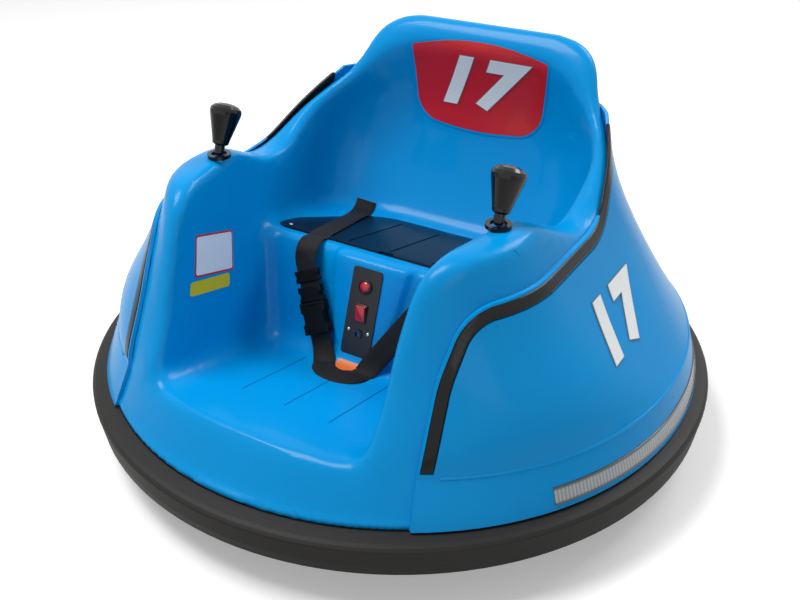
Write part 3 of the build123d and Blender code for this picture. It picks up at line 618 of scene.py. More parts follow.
def finish_piece(name, mesh, material, sharp=None):
    """Closes a mesh's work: normals outwards, shading, material, and a ride on the car."""
    bm = bmesh.new()
    bm.from_mesh(mesh)
    bmesh.ops.recalc_face_normals(bm, faces=bm.faces)
    bm.to_mesh(mesh)
    bm.free()
    mesh.polygons.foreach_set("use_smooth", [True] * len(mesh.polygons))
    if sharp:
        mesh.set_sharp_from_angle(angle=math.radians(sharp))
    mesh.materials.clear()
    mesh.materials.append(material)
    piece = placed(name, mesh)
    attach(piece, "car_body")
    return piece


def piece_of(name, points, faces, material, sharp=None):
    """Finished piece from points and faces."""
    mesh = bpy.data.meshes.new(name)
    mesh.from_pydata([tuple(p) for p in points], [], [tuple(f) for f in faces])
    return finish_piece(name, mesh, material, sharp)


points, triangles, quads = grid_of(tub_field).convertToPolygons(0.0, MERGING)
tub_faces = triangles.tolist() + quads.tolist()
tub = piece_of("tub_moulding", points.tolist(), tub_faces, tub_blue, sharp=50)
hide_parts("cockpit_tub")
print("tub:", len(triangles) + 2 * len(quads), "triangles")

# %% [markdown]
# ## Decals and raised numbers
# A sticker follows the moulding under it. Its flat shape is cut into small cells, every
# point is thrown onto the surface along one direction, and a thin wall is added. A ray
# that meets the surface gives the place and the normal, which is all that this needs.

# %% Flat shapes
NUMBER, NUMBER_SHEAR, NUMBER_WIDTH = "17", 0.32, 1.16
CAPITAL_SHARE = 0.72  # height of a numeral in the font, as a share of its size


def flat_outline(outline):
    """Flat mesh of one outline."""
    bm = bmesh.new()
    bm.faces.new([bm.verts.new((x, y, 0)) for x, y in outline])
    return bm


def flat_number(height, fatten, spacing):
    """Flat mesh of the plain number, centred, with a given height."""
    curve = bpy.data.curves.new("numbers", "FONT")
    curve.body = NUMBER
    curve.size = height / CAPITAL_SHARE
    curve.offset = fatten
    curve.shear = NUMBER_SHEAR
    curve.space_character = spacing
    curve.align_x = "CENTER"
    curve.align_y = "CENTER"
    curve.resolution_u = 6
    holder = bpy.data.objects.new("numbers", curve)
    mesh = bpy.data.meshes.new_from_object(holder)
    bm = bmesh.new()
    bm.from_mesh(mesh)
    bmesh.ops.remove_doubles(bm, verts=bm.verts, dist=1e-6)
    bmesh.ops.scale(bm, vec=(NUMBER_WIDTH, 1, 1), verts=bm.verts)
    bpy.data.objects.remove(holder)
    bpy.data.curves.remove(curve)
    bpy.data.meshes.remove(mesh)
    return bm


def cut_in_cells(bm, size):
    """Cuts flat work along a square grid, so that it can bend."""
    for axis in (0, 1):
        values = [v.co[axis] for v in bm.verts]
        low, high = min(values), max(values)
        for k in range(1, math.ceil((high - low) / size)):
            place, normal = Vector((0, 0, 0)), Vector((0, 0, 0))
            place[axis], normal[axis] = low + k * size, 1
            bmesh.ops.bisect_plane(bm, geom=bm.verts[:] + bm.edges[:] + bm.faces[:],
                                   plane_co=place, plane_no=normal)


print("the number is", NUMBER)

# %% [markdown]
# A search tree of the target's faces answers each ray quickly. The thin wall stands on
# the outline's open edges, so every decal is a closed body.

# %% Flat work thrown onto a surface
THROW = 50 * MM


def surface_tree(*objects):
    """Search tree of the surfaces of some objects."""
    points, faces = [], []
    for item in objects:
        start = len(points)
        points += [v.co.copy() for v in item.data.vertices]
        faces += [[start + i for i in p.vertices] for p in item.data.polygons]
    return BVHTree.FromPolygons(points, faces)


def thrown(name, bm, at, surface, lift, wall, material, cell=8 * MM):
    """Flat work on a surface: at carries it there, and it is thrown against at's z."""
    cut_in_cells(bm, cell)
    out = at.col[2].to_3d()
    lower, upper = [], []
    for i, vert in enumerate(bm.verts):
        vert.index = i
        hit, normal, _, _ = surface.ray_cast(at @ vert.co + out * THROW, -out)
        if hit is None:
            raise SystemExit(name + ": a point misses the surface")
        if normal.dot(out) < 0:
            normal = -normal
        lower.append(hit + normal * lift)
        upper.append(hit + normal * (lift + wall))
    count = len(upper)
    faces = [[v.index for v in f.verts] for f in bm.faces]
    faces += [[v.index + count for v in reversed(f.verts)] for f in bm.faces]
    for edge in bm.edges:
        if len(edge.link_faces) == 1:
            a, b = edge.verts[0].index, edge.verts[1].index
            faces.append([a, b, b + count, a + count])
    bm.free()
    return piece_of(name, upper + lower, faces, material, sharp=40)


on_tub = surface_tree(tub)
on_shell = surface_tree(nodes["outer_shell"])
print("faces to throw onto:", len(tub.data.polygons) + len(nodes["outer_shell"].data.polygons))

# %% [markdown]
# The backrest carries a red plate with a number, and the sides carry the same number in
# raised white plastic with a thin grey border. The number is a plain one. Vinyl is a
# little duller than the body, so that its edges read against the gloss.

# %% Plate on the backrest
plate_red = grained("red_vinyl", (205, 12, 26), 0.33, grain=0.05, tint=0.08, coat=0.2)
number_white = grained("white_number_plastic", (233, 237, 238), 0.3, grain=0.04, tint=0.02)
number_border = grained("grey_border_ink", (96, 104, 112), 0.4, grain=0.04)
PLATE_CORNERS = [(-0.084, -0.048, 0.034), (0.0, -0.058, 0.35), (0.084, -0.048, 0.034),
                 (0.092, 0.044, 0.004), (0.0, 0.064, 0.30), (-0.092, 0.044, 0.004)]  # x, y, radius
backrest = frame_at((1, 0, 0), (0, 0, 1), (0, 0.12, 0.336))


def plate_shape(grow=0.0):
    """Flat plate, grown all round by an amount."""
    corners = [(x + math.copysign(grow, x) if x else x, y + math.copysign(grow, y), r + grow)
               for x, y, r in PLATE_CORNERS]
    return flat_outline(rounded_outline(corners, 6))


thrown("back_plate_border", plate_shape(2.6 * MM), backrest, on_tub, 0.05 * MM, 0.5 * MM, body_blue)
back_plate = thrown("back_plate", plate_shape(), backrest, on_tub, 0.2 * MM, 0.7 * MM, plate_red)
print("plate:", len(back_plate.data.polygons), "faces")

# %% [markdown]
# Each number is made twice: a fatter one below in the border's grey, and a white one that
# stands a little higher, so a thin rim shows round it.

# %% Numbers
on_plate = surface_tree(back_plate)
number_place = backrest @ Matrix.Translation((-10 * MM, 3 * MM, 0))
SIDE_OUT, SIDE_SPOT = (0.77, 0, 0.64), (0.274, -0.034, 0.197)
# name, fattening and lift in millimetres, material
for name, fatten, lift, material in (("back_number_border", 5.0, 0.1, number_border),
                                     ("back_number", 4.3, 0.4, number_white)):
    shape = flat_number(58 * MM, fatten * MM, 1.2)
    thrown(name, shape, number_place, on_plate, lift * MM, 0.3 * MM, material)

for side, name in ((1, "left"), (-1, "right")):
    mirror = Vector((side, 1, 1))
    out = (Vector(SIDE_OUT) * mirror).normalized()
    reading = Vector((0, side, 0))
    at = frame_at(reading, out.cross(reading), Vector(SIDE_SPOT) * mirror)
    # label, fattening, lift and wall in millimetres, material
    for label, fatten, lift, wall, material in (("border", 5.4, 0.1, 0.7, number_border),
                                                ("number", 4.5, 0.3, 1.3, number_white)):
        shape = flat_number(56 * MM, fatten * MM, 1.25)
        thrown("side_" + label + "_" + name, shape, at, on_shell, lift * MM, wall * MM, material, 6 * MM)
print("numbers stand on the plate and on both sides")

# %% [markdown]
# Three small labels are blank: a white one with a red border, a yellow one below it, and an
# orange one at the foot of the console. On the real car such places hold printed advice,
# which a model without a maker leaves empty.

# %% Blank labels
label_white = grained("white_label_paper", (228, 234, 238), 0.45, grain=0.05, tint=0.02)
label_red = grained("red_label_ink", (190, 40, 44), 0.45, tint=0.05)
label_yellow = grained("yellow_label_paper", (214, 196, 20), 0.45, grain=0.05, tint=0.04)
label_orange = grained("orange_label_paper", (222, 104, 22), 0.45, grain=0.05, tint=0.04)
LABEL_WALL, LABEL_ROUND = 0.25 * MM, 3 * MM
# Corners in millimetres: top left, top right, lower right, lower left
ADVICE = ((-139, -187, 256), (-151, -115, 231), (-142, -133, 189), (-132.5, -204, 215))
NOTICE = ((-132, -210, 212), (-141, -138, 189), (-138.5, -145, 175), (-130.5, -215, 198))


def label_on_wall(name, corners, material, inset=0.0, lift=0.1 * MM):
    """Blank label between four corners on the wall of the tub."""
    tl, tr, br, bl = [Vector(c) * MM for c in corners]
    across = ((tr - tl) + (br - bl)) / 2
    up = ((tl - bl) + (tr - br)) / 2
    up -= across * up.dot(across) / across.dot(across)
    at = frame_at(across, up, (tl + tr + br + bl) / 4)
    outline = block_outline(across.length / 2 - inset, up.length / 2 - inset, LABEL_ROUND)
    return thrown(name, flat_outline(outline), at, on_tub, lift, LABEL_WALL, material)


label_on_wall("advice_label_border", ADVICE, label_red)
label_on_wall("advice_label", ADVICE, label_white, 2.2 * MM, 0.25 * MM)
label_on_wall("notice_label", NOTICE, label_yellow)
console_shape = flat_outline(block_outline(15 * MM, 6 * MM, 1 * MM, 3))
console_foot = riser_frame(-2 * MM, 98 * MM, 30 * MM)
thrown("console_label", console_shape, console_foot, on_tub, 0.1 * MM, LABEL_WALL, label_orange, 5 * MM)
print("label is", round((Vector(ADVICE[1]) - Vector(ADVICE[0])).length), "mm across")

# %% [markdown]
# ## Seat cover
# The cover is a thin moulded plate with three grooves from front to back, a finger notch at
# its front edge and a screw near each front corner. It starts as the outline of the recess,
# gets rings of points that round its edge, and is then cut by three slender bars and by a
# small block for the notch.

# %% Plates and cuts
def mesh_of(bm, matrix=None):
    """Closes a bmesh into a mesh, carried by a matrix."""
    if matrix is not None:
        bmesh.ops.transform(bm, matrix=matrix, verts=bm.verts)
    bmesh.ops.recalc_face_normals(bm, faces=bm.faces)
    mesh = bpy.data.meshes.new("work")
    bm.to_mesh(mesh)
    bm.free()
    return mesh


def stacked(bm, loops):
    """Bmesh with walls between loops of points, closed by a face at each end."""
    count = len(loops[0])
    for low, high in zip(loops, loops[1:]):
        for i in range(count):
            j = (i + 1) % count
            bm.faces.new((low[i], low[j], high[j], high[i]))
    bm.faces.new(loops[0])
    bm.faces.new(loops[-1])
    return bm


def plate_of(outline, rings):
    """Plate from an outline: rings of inset and height."""
    bm = bmesh.new()
    count = len(outline)
    middle = Vector((sum(x for x, y in outline) / count, sum(y for x, y in outline) / count))
    loops = []
    for inset, height in rings:
        loop = []
        for i, (x, y) in enumerate(outline):
            run = Vector(outline[(i + 1) % count]) - Vector(outline[i - 1])
            side = Vector((run.y, -run.x)).normalized()
            if side.dot(Vector((x, y)) - middle) < 0:
                side = -side
            loop.append(bm.verts.new((x - side.x * inset, y - side.y * inset, height)))
        loops.append(loop)
    return stacked(bm, loops)


def cut_by(mesh, cutters):
    """The mesh less some other meshes."""
    base = placed("base", mesh)
    helpers = [placed("cutter", cutter) for cutter in cutters]
    for helper in helpers:
        step = base.modifiers.new("cut", "BOOLEAN")
        step.operation = "DIFFERENCE"
        step.solver = "EXACT"
        step.object = helper
    graph = bpy.context.evaluated_depsgraph_get()
    result = bpy.data.meshes.new_from_object(base.evaluated_get(graph))
    for item in [base] + helpers:
        bpy.data.objects.remove(item)
    return result


print("plates can be stacked from rings and cut")

# %% [markdown]
# A bar has slanted flanks, so a groove gets the draft that a mould needs. The notch has
# the outline of a finger and goes right through the edge.

# %% Cover plate
BAR_TOP, BAR_FOOT, BAR_DEPTH, BAR_RISE = 1.3 * MM, 0.7 * MM, 0.9 * MM, 1.0 * MM
BAR_ENDS = (-25.5 * MM, 97.5 * MM)
COVER_RINGS = [(0.4, -3.6), (0.0, -3.0), (0.0, -0.1), (0.25, 0.35), (0.9, 0.6)]  # inset, height in mm
NOTCH = [(-0.012, -0.05, 0.002), (0.012, -0.05, 0.002), (0.009, -0.0285, 0.004), (-0.009, -0.0285, 0.004)]
cutters = []
for middle in (-GROOVE_PITCH, 0, GROOVE_PITCH):
    section = [(middle - BAR_TOP, BAR_RISE), (middle - BAR_FOOT, -BAR_DEPTH),
               (middle + BAR_FOOT, -BAR_DEPTH), (middle + BAR_TOP, BAR_RISE)]
    bm = bmesh.new()
    cutters.append(mesh_of(stacked(bm, [[bm.verts.new((x, y, z)) for x, z in section] for y in BAR_ENDS])))
cutters.append(mesh_of(plate_of(rounded_outline(NOTCH, 5), [(0, -6 * MM), (0, 4 * MM)])))
plate = mesh_of(plate_of(cover_outline, [(inset * MM, height * MM) for inset, height in COVER_RINGS]))
cover_mesh = cut_by(plate, cutters)
cover_mesh.transform(seat_frame)
cover = finish_piece("cover_plate", cover_mesh, cover_plastic, sharp=30)
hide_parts("seat_cover")
print("cover:", len(cover.data.polygons), "faces")

# %% [markdown]
# ## Webbing straps
# A strap is a ribbon: a line of places, and at each place the direction across it. The
# section is a flat rounded rectangle. The straps run over the seat, bend round its front
# edge and hang down the riser. The one on the right ends as slack on the floor, round the
# console's foot. A UV map in metres carries the weave along every bend.

# %% Ribbon helper
STRAP_WIDTH, STRAP_WALL, STRAP_STEP = 26 * MM, 1.5 * MM, 3 * MM
# Lower half of the section, as shares of half the width and half the wall
STRAP_HALF = [(-1, -0.35), (-0.955, -0.9), (-0.5, -1), (0, -1), (0.5, -1), (0.955, -0.9), (1, -0.35)]


def smooth_line(stations):
    """Even stations on a smooth curve through places, in millimetres, and directions across."""
    places = [Vector(p) * MM for p, a in stations]
    acrosses = [Vector(a).normalized() for p, a in stations]
    dense = []
    for i in range(len(places) - 1):
        p0, p1 = places[max(i - 1, 0)], places[i]
        p2, p3 = places[i + 1], places[min(i + 2, len(places) - 1)]
        span = (p2 - p1).length
        m1 = (p2 - p0).normalized() * span if i else (p2 - p1)
        m2 = (p3 - p1).normalized() * span if i + 2 < len(places) else (p2 - p1)
        count = max(2, round(span / STRAP_STEP))
        for k in range(count):
            t = k / count
            a, b = 2 * t ** 3 - 3 * t ** 2 + 1, t ** 3 - 2 * t ** 2 + t
            c, d = -2 * t ** 3 + 3 * t ** 2, t ** 3 - t ** 2
            place = a * p1 + b * m1 + c * p2 + d * m2
            dense.append((place, acrosses[i].lerp(acrosses[i + 1], t).normalized()))
    dense.append((places[-1], acrosses[-1]))
    return dense


def strap_piece(name, stations, replaced):
    """Strap along stations, which stands for some CAD nodes."""
    line = smooth_line(stations)
    section = [(u * STRAP_WIDTH / 2, w * STRAP_WALL / 2)
               for u, w in STRAP_HALF + [(-u, -w) for u, w in STRAP_HALF]]
    count = len(section)
    bm = bmesh.new()
    uv = bm.loops.layers.uv.new("strap")
    loops, runs = [], []
    length = 0.0
    for i, (place, across) in enumerate(line):
        before, after = line[max(i - 1, 0)][0], line[min(i + 1, len(line) - 1)][0]
        length += (place - before).length
        run = (after - before).normalized()
        side = (across - run * across.dot(run)).normalized()
        up = side.cross(run)
        loops.append([bm.verts.new(place + side * u + up * w) for u, w in section])
        runs.append(length)
    for i in range(len(loops) - 1):
        for k in range(count):
            j = (k + 1) % count
            quad = bm.faces.new((loops[i][k], loops[i][j], loops[i + 1][j], loops[i + 1][k]))
            us = (section[k][0], section[j][0], section[j][0], section[k][0])
            vs = (runs[i], runs[i], runs[i + 1], runs[i + 1])
            for corner, u, v in zip(quad.loops, us, vs):
                corner[uv].uv = (u, v)
    for loop, v in ((loops[0], 0.0), (loops[-1], runs[-1])):
        end = bm.faces.new(loop)
        for corner, (u, w) in zip(end.loops, section):
            corner[uv].uv = (u, v + w)
    piece = finish_piece(name, mesh_of(bm), webbing_black, sharp=60)
    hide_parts(*replaced)
    print(name, "is", round(length, 3), "m long")
    return piece


# %% [markdown]
# The stations come from the same planes as the CAD: 14.5 mm in front of the riser, and a
# little over the seat cover. Rays from above find the height of the seat, of its cover and
# of the corner behind them. On the floor the ribbon lies flat, a few millimetres up.

# %% Stations of the lap belt
HANG_FOOT, HANG_RISE, HANG_PROUD = 93, 97, 14.5
SEAT_BEND = -75.8
SEAT_TURN = math.tan(math.radians(12))
SEAT_LIFT, HALF_STRAP = 1.2, 13
on_seat = surface_tree(tub, cover)


def hang(top_x, foot_x, z):
    """Station of the hanging webbing at a height, in millimetres."""
    x = foot_x + (top_x - foot_x) * (z - HANG_FOOT) / HANG_RISE
    spot = riser_frame(x * MM, z * MM, HANG_PROUD * MM).translation / MM
    slope = (top_x - foot_x) / (HANG_RISE / math.cos(RISER_LEAN))
    return spot, Vector((1, 0, 0)) - RISER_UP * slope


def rest_height(x, y):
    """Height in millimetres of the seat, its cover or the tub's corner below a place."""
    hit, _, _, _ = on_seat.ray_cast(Vector((x * MM, y * MM, 0.30)), Vector((0, 0, -1)))
    return hit.z / MM


def over_seat(top_x, y, side):
    """Station of the webbing on the seat, where it turns outwards by 12 degrees."""
    x = top_x + side * (y - SEAT_BEND) * SEAT_TURN
    right, left = (rest_height(x + k * HALF_STRAP, y - k * HALF_STRAP * side * SEAT_TURN) for k in (1, -1))
    height = max(rest_height(x, y), (left + right) / 2) + SEAT_LIFT
    return Vector((x, y, height)), Vector((2 * HALF_STRAP, -2 * HALF_STRAP * side * SEAT_TURN, right - left))


def seat_part(top_x, side):
    """Stations from the corner of the seat to the bend at its front edge."""
    stations = [over_seat(top_x, y, side) for y in (118, 110, 100, 88, 70, 45, 20, -5, -25, -38)]
    turn = side * SEAT_TURN
    for y, z in ((-46, 207.4), (-54, 208.8), (-62, 208.2), (-68.5, 205.0), (-72.3, 200.0)):
        stations.append((Vector((top_x + (y - SEAT_BEND) * turn, y, z)), Vector((1, -turn, 0))))
    return stations


print("seat is", round(rest_height(0, 0)), "mm high in the middle")

# %% [markdown]
# The left strap ends at the buckle. The right one starts below it, lies as slack round the
# console's foot, climbs on the other side and runs over the seat.

# %% Straps of the lap belt
LEFT_TOP, LEFT_FOOT, RIGHT_TOP, RIGHT_FOOT = -82, -35, 84, 20  # across, in millimetres
down = seat_part(LEFT_TOP, -1) + [hang(LEFT_TOP, LEFT_FOOT, z) for z in (193, 186, 178, 168, 157)]
strap_piece("strap_left", down, ["belt_left"])

slack = [hang(LEFT_TOP, LEFT_FOOT, z) for z in (128, 116, 106)]
# place across, place along, height over the floor, direction across the webbing
for x, y, lift, ax, ay in ((-30, -118, 3.2, 0.95, 0.3), (-22, -131, 3.2, 0.75, 0.66),
                           (-8, -138.5, 2.2, 0.25, 0.97), (6, -138, 2.2, -0.2, 0.98),
                           (17, -129, 3.2, -0.8, 0.6), (20.5, -117, 3.2, -0.97, 0.15)):
    slack.append((Vector((x, y, floor_z(y * MM) / MM + lift)), Vector((ax, ay, 0))))
climb = [hang(RIGHT_TOP, RIGHT_FOOT, z) for z in (106, 130, 160, 182, 193)]
climb += reversed(seat_part(RIGHT_TOP, 1))
slack += [(place, -across) for place, across in climb]
strap_piece("strap_right", slack, ["belt_tail", "belt_loop", "belt_diagonal", "belt_right"])

# %% [markdown]
# ## Buckle
# A side-release buckle has a window on each side, where the prongs of its tongue are
# pressed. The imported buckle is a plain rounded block, so a copy of it, with its loose
# triangles merged first, is cut by small prisms square to the webbing.

# %% Buckle windows
def merged_copy(name):
    """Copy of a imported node's mesh with its loose triangles joined."""
    bm = bmesh.new()
    bm.from_mesh(nodes[name].data)
    bmesh.ops.remove_doubles(bm, verts=bm.verts, dist=1e-6)
    return mesh_of(bm)


def prism_on_belt(z, shift, half_x, half_y, radius, low=-10, high=10):
    """Prism square to the left webbing at a height, moved across it, all in millimetres."""
    spot, across = hang(LEFT_TOP, LEFT_FOOT, z)
    at = frame_at(across, riser_out.cross(across), spot * MM) @ Matrix.Translation((shift * MM, 0, 0))
    outline = block_outline(half_x * MM, half_y * MM, radius * MM, 5)
    return mesh_of(plate_of(outline, [(0, low * MM), (0, high * MM)]), at)


# piece, node that it stands for, height, half width, then half sizes and radius of a window
BUCKLE_PARTS = (("buckle_socket", "buckle_body", 134.0, 17.0, (3.6, 7.0, 2.5)),
                ("buckle_tongue_part", "buckle_tongue", 157.0, 16.0, (3.0, 3.4, 2.0)),
                ("belt_adjuster", "belt_slider", 176.0, 16.5, (2.2, 2.6, 1.5)))
for name, replaced, z, half, window in BUCKLE_PARTS:
    cutters = [prism_on_belt(z, side * half, *window) for side in (-1, 1)]
    if name == "buckle_socket":  # two lines across its face
        cutters += [prism_on_belt(z + up, 0, half_line, 0.5, 0.4, 4.9, 9.0)
                    for up, half_line in ((12.5, 8.0), (-12.0, 13.0))]
    part = finish_piece(name, cut_by(merged_copy(replaced), cutters), buckle_plastic, 35)
    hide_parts(replaced)
    print(name, len(part.data.polygons), "faces")

# %% [markdown]
# ## Light strips
# The strip along the shell's edge is smoked plastic with a full, round edge. The same
# rolling ball does it, on a finer grid that only covers the strip itself.

# %% Rounded light strips
STRIP_ROUND, STRIP_VOXEL = 1.35 * MM, 0.8 * MM
for side in ("left", "right"):
    points, faces = mesh_arrays(nodes["light_strip_" + side].data)
    for step in (-STRIP_ROUND, STRIP_ROUND):
        near = level_set(points, faces, STRIP_VOXEL, STRIP_ROUND / STRIP_VOXEL + 3)
        points, faces = near.convertToQuads(step)
    strip = piece_of("smoked_strip_" + side, points.tolist(), faces.tolist(), strip_plastic)
    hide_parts("light_strip_" + side)
    print("strip", side, len(faces), "quads")

# %% [markdown]
# ## Crease bead
# A fine bead runs round the shell above the lenses, where the skirt bends. It is a ribbon
# of a half-round section whose line is found by rays that look at the car from outside.

# %% Crease bead
BEAD_HEIGHT, BEAD_HALF, BEAD_PROUD, BEAD_LEAN = 126.5 * MM, 1.7 * MM, 0.9 * MM, 0.45
BEAD_START, BEAD_DEGREES = -52.5, 286
# Across the bead and out of the shell, as shares of its half width and its height
BEAD_SECTION = ((-1.0, -0.5), (-0.9, 0.15), (-0.5, 0.75), (0, 1.0), (0.5, 0.75), (0.9, 0.15), (1.0, -0.5))
rows = []
for k in range(BEAD_DEGREES):
    turn = math.radians(BEAD_START + k)
    ray = Vector((math.cos(turn), math.sin(turn), 0))
    hit, _, _, _ = on_shell.ray_cast(Vector((0, 0, BEAD_HEIGHT)) + ray * 0.45, -ray)
    if hit is not None:
        upright = Vector((0, 0, 1)) - ray * BEAD_LEAN
        rows.append([hit + upright * BEAD_HALF * u + ray * (BEAD_PROUD * w) for u, w in BEAD_SECTION])
width = len(BEAD_SECTION)
bead_points = [p for row in rows for p in row]
bead_faces = []
for start in range(0, (len(rows) - 1) * width, width):
    for k in range(width):
        j = (k + 1) % width
        bead_faces.append([start + k, start + j, start + width + j, start + width + k])
bead_faces += [list(range(width)), [len(bead_points) - 1 - k for k in range(width)]]
piece_of("crease_bead", bead_points, bead_faces, body_blue)
print("bead stations:", len(rows))

# %% [markdown]
# ## Switch panel
# On the panel sit a domed lamp in a black bezel, a rocker switch that leans on its pivot,
# and a socket. Round pieces are turned: a half outline of radius and height goes round an
# axis. The rocker is a plate whose top is tilted after it is made.

# %% Lamp
PANEL_FACE = 10.5 * MM  # in front of the riser
BEZEL = [(0, 1.2), (6.4, 1.2), (6.6, 1.9), (7.0, 2.3), (7.9, 2.1), (8.5, 1.3), (8.5, 0.05), (0, 0.05)]
DOME = [(0, 4.0), (2.2, 3.85), (4.2, 3.35), (5.6, 2.55), (6.3, 1.7), (6.3, 1.25), (0, 1.25)]


def turned(name, profile, at, material, segments=40):
    """Closed piece of revolution from radii and heights in millimetres, from its top to its foot."""
    bm = bmesh.new()
    loops = []
    for radius, height in profile:
        turns = [math.tau * k / segments for k in range(segments)] if radius else [0]
        loops.append([bm.verts.new((radius * MM * math.cos(turn), radius * MM * math.sin(turn), height * MM))
                      for turn in turns])
    for a, b in zip(loops, loops[1:]):
        for k in range(segments):
            j = (k + 1) % segments
            corners = [a[k % len(a)], b[k % len(b)], b[j % len(b)], a[j % len(a)]]
            bm.faces.new([v for i, v in enumerate(corners) if v not in corners[:i]])
    return finish_piece(name, mesh_of(bm, at), material, sharp=35)


lamp_at = riser_frame(0, 180 * MM, PANEL_FACE)
turned("lamp_bezel", BEZEL, lamp_at, panel_plastic)
dome = turned("lamp_dome", DOME, lamp_at, red_plastic)
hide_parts("power_light")
print("lamp is", 2 * DOME[-3][0], "mm across")

# %% [markdown]
# The rocker's paddle is pressed in at its foot: the points of its top rings are raised or
# lowered by their place along it.

# %% Rocker switch
ROCKER_RINGS = [(0, 1.7), (0, 2.9), (0.3, 3.25), (0.9, 3.4)]  # inset and height in millimetres
ROCKER_HALF, ROCKER_TILT = 9.2 * MM, 1.55 * MM
rocker_at = riser_frame(0, 151 * MM, PANEL_FACE)
bezel = plate_of(block_outline(7.5 * MM, 10.5 * MM, 1.5 * MM),
                 [(0, 0.05 * MM), (0, 1.3 * MM), (0.5 * MM, 1.8 * MM)])
finish_piece("rocker_bezel", mesh_of(bezel, rocker_at), panel_plastic, 35)
paddle = plate_of(block_outline(6.2 * MM, ROCKER_HALF, 0.8 * MM), [(i * MM, h * MM) for i, h in ROCKER_RINGS])
for vert in paddle.verts:
    if vert.co.z > 2.5 * MM:
        vert.co.z += ROCKER_TILT * (vert.co.y / ROCKER_HALF)
rocker_top = max(vert.co.z for vert in paddle.verts)
rocker = finish_piece("rocker_paddle", mesh_of(paddle, rocker_at), red_plastic, 35)
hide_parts("rocker_switch")
print("rocker stands", round(rocker_top / MM, 1), "mm proud of the panel")

# %% [markdown]
# ## Screws
# The same cross-head screw holds the panel, the seat cover and the tray. Geometry Nodes
# make them all: a flattened ball is the head, two bars cut the cross, and one instance goes
# on every point of a small mesh. Each point carries the direction its screw faces.

# %% Screw tree
SCREW_SIZES = ("Head radius", "Head height", "Slot width")


def screw_tree(material):
    """Tree that puts a cross-head screw on every point, along the point's facing."""
    tree = bpy.data.node_groups.new("cross_head_screws", "GeometryNodeTree")
    tree.interface.new_socket("Geometry", in_out="INPUT", socket_type="NodeSocketGeometry")
    for label, value in zip(SCREW_SIZES, (2.6, 1.3, 0.9)):
        socket = tree.interface.new_socket(label, in_out="INPUT", socket_type="NodeSocketFloat")
        socket.default_value = value * MM
    tree.interface.new_socket("Geometry", in_out="OUTPUT", socket_type="NodeSocketGeometry")
    add, link = tree.nodes.new, tree.links.new
    given, result = add("NodeGroupInput"), add("NodeGroupOutput")
    radius, height, slot = (given.outputs[label] for label in SCREW_SIZES)

    def vector(**parts):
        """Vector from its X, Y and Z."""
        node = add("ShaderNodeCombineXYZ")
        for label, value in parts.items():
            feed(tree, node.inputs[label], value)
        return node.outputs["Vector"]

    ball = add("GeometryNodeMeshUVSphere")
    ball.inputs["Segments"].default_value = 20
    ball.inputs["Rings"].default_value = 10
    link(radius, ball.inputs["Radius"])
    flatten = add("GeometryNodeTransform")
    link(ball.outputs["Mesh"], flatten.inputs["Geometry"])
    link(vector(X=1.0, Y=1.0, Z=math_node(tree, "DIVIDE", height, radius)), flatten.inputs["Scale"])
    cut = add("GeometryNodeMeshBoolean")
    cut.operation = "DIFFERENCE"
    cut.solver = "EXACT"
    link(flatten.outputs["Geometry"], cut.inputs["Mesh 1"])
    length = math_node(tree, "MULTIPLY", radius, 1.15)
    for size in (vector(X=length, Y=slot, Z=height), vector(X=slot, Y=length, Z=height)):
        bar, lift = add("GeometryNodeMeshCube"), add("GeometryNodeTransform")
        link(size, bar.inputs["Size"])
        link(bar.outputs["Mesh"], lift.inputs["Geometry"])
        link(vector(Z=height), lift.inputs["Translation"])
        link(lift.outputs["Geometry"], cut.inputs["Mesh 2"])
    facing = add("GeometryNodeInputNamedAttribute")
    facing.data_type = "FLOAT_VECTOR"
    facing.inputs["Name"].default_value = "facing"
    turn = add("FunctionNodeAlignRotationToVector")
    turn.axis = "Z"
    link(facing.outputs["Attribute"], turn.inputs["Vector"])
    place = add("GeometryNodeInstanceOnPoints")
    link(given.outputs["Geometry"], place.inputs["Points"])
    link(cut.outputs["Mesh"], place.inputs["Instance"])
    link(turn.outputs["Rotation"], place.inputs["Rotation"])
    real = add("GeometryNodeRealizeInstances")
    link(place.outputs["Instances"], real.inputs["Geometry"])
    paint = add("GeometryNodeSetMaterial")
    paint.inputs["Material"].default_value = material
    link(real.outputs["Geometry"], paint.inputs["Geometry"])
    link(paint.outputs["Geometry"], result.inputs["Geometry"])
    return tree


tree_of_screws = screw_tree(steel)
print("nodes in the screw:", len(tree_of_screws.nodes))

# %% [markdown]
# Each set of screws has its own size. It goes to the tree's named inputs by the socket's
# identifier, before the carrier is first evaluated.

# %% Screws on the panel, the cover and the tray
def screws(name, places, *sizes):
    """Screws at places with the direction each one faces, and their sizes in millimetres."""
    mesh = bpy.data.meshes.new(name + "_points")
    mesh.from_pydata([tuple(p) for p, d in places], [], [])
    facing = mesh.attributes.new("facing", "FLOAT_VECTOR", "POINT")
    facing.data.foreach_set("vector", [c for p, d in places for c in Vector(d).normalized()])
    carrier = placed(name + "_points", mesh)
    step = carrier.modifiers.new("screws", "NODES")
    step.node_group = tree_of_screws
    values = dict(zip(SCREW_SIZES, sizes))
    for socket in tree_of_screws.interface.items_tree:
        if socket.in_out == "INPUT" and socket.name in values:
            step[socket.identifier] = values[socket.name] * MM
    graph = bpy.context.evaluated_depsgraph_get()
    made = bpy.data.meshes.new_from_object(carrier.evaluated_get(graph))
    bpy.data.objects.remove(carrier)
    finish_piece(name, made, steel, sharp=40)
    print(name, len(places), "screws,", len(made.polygons), "faces")


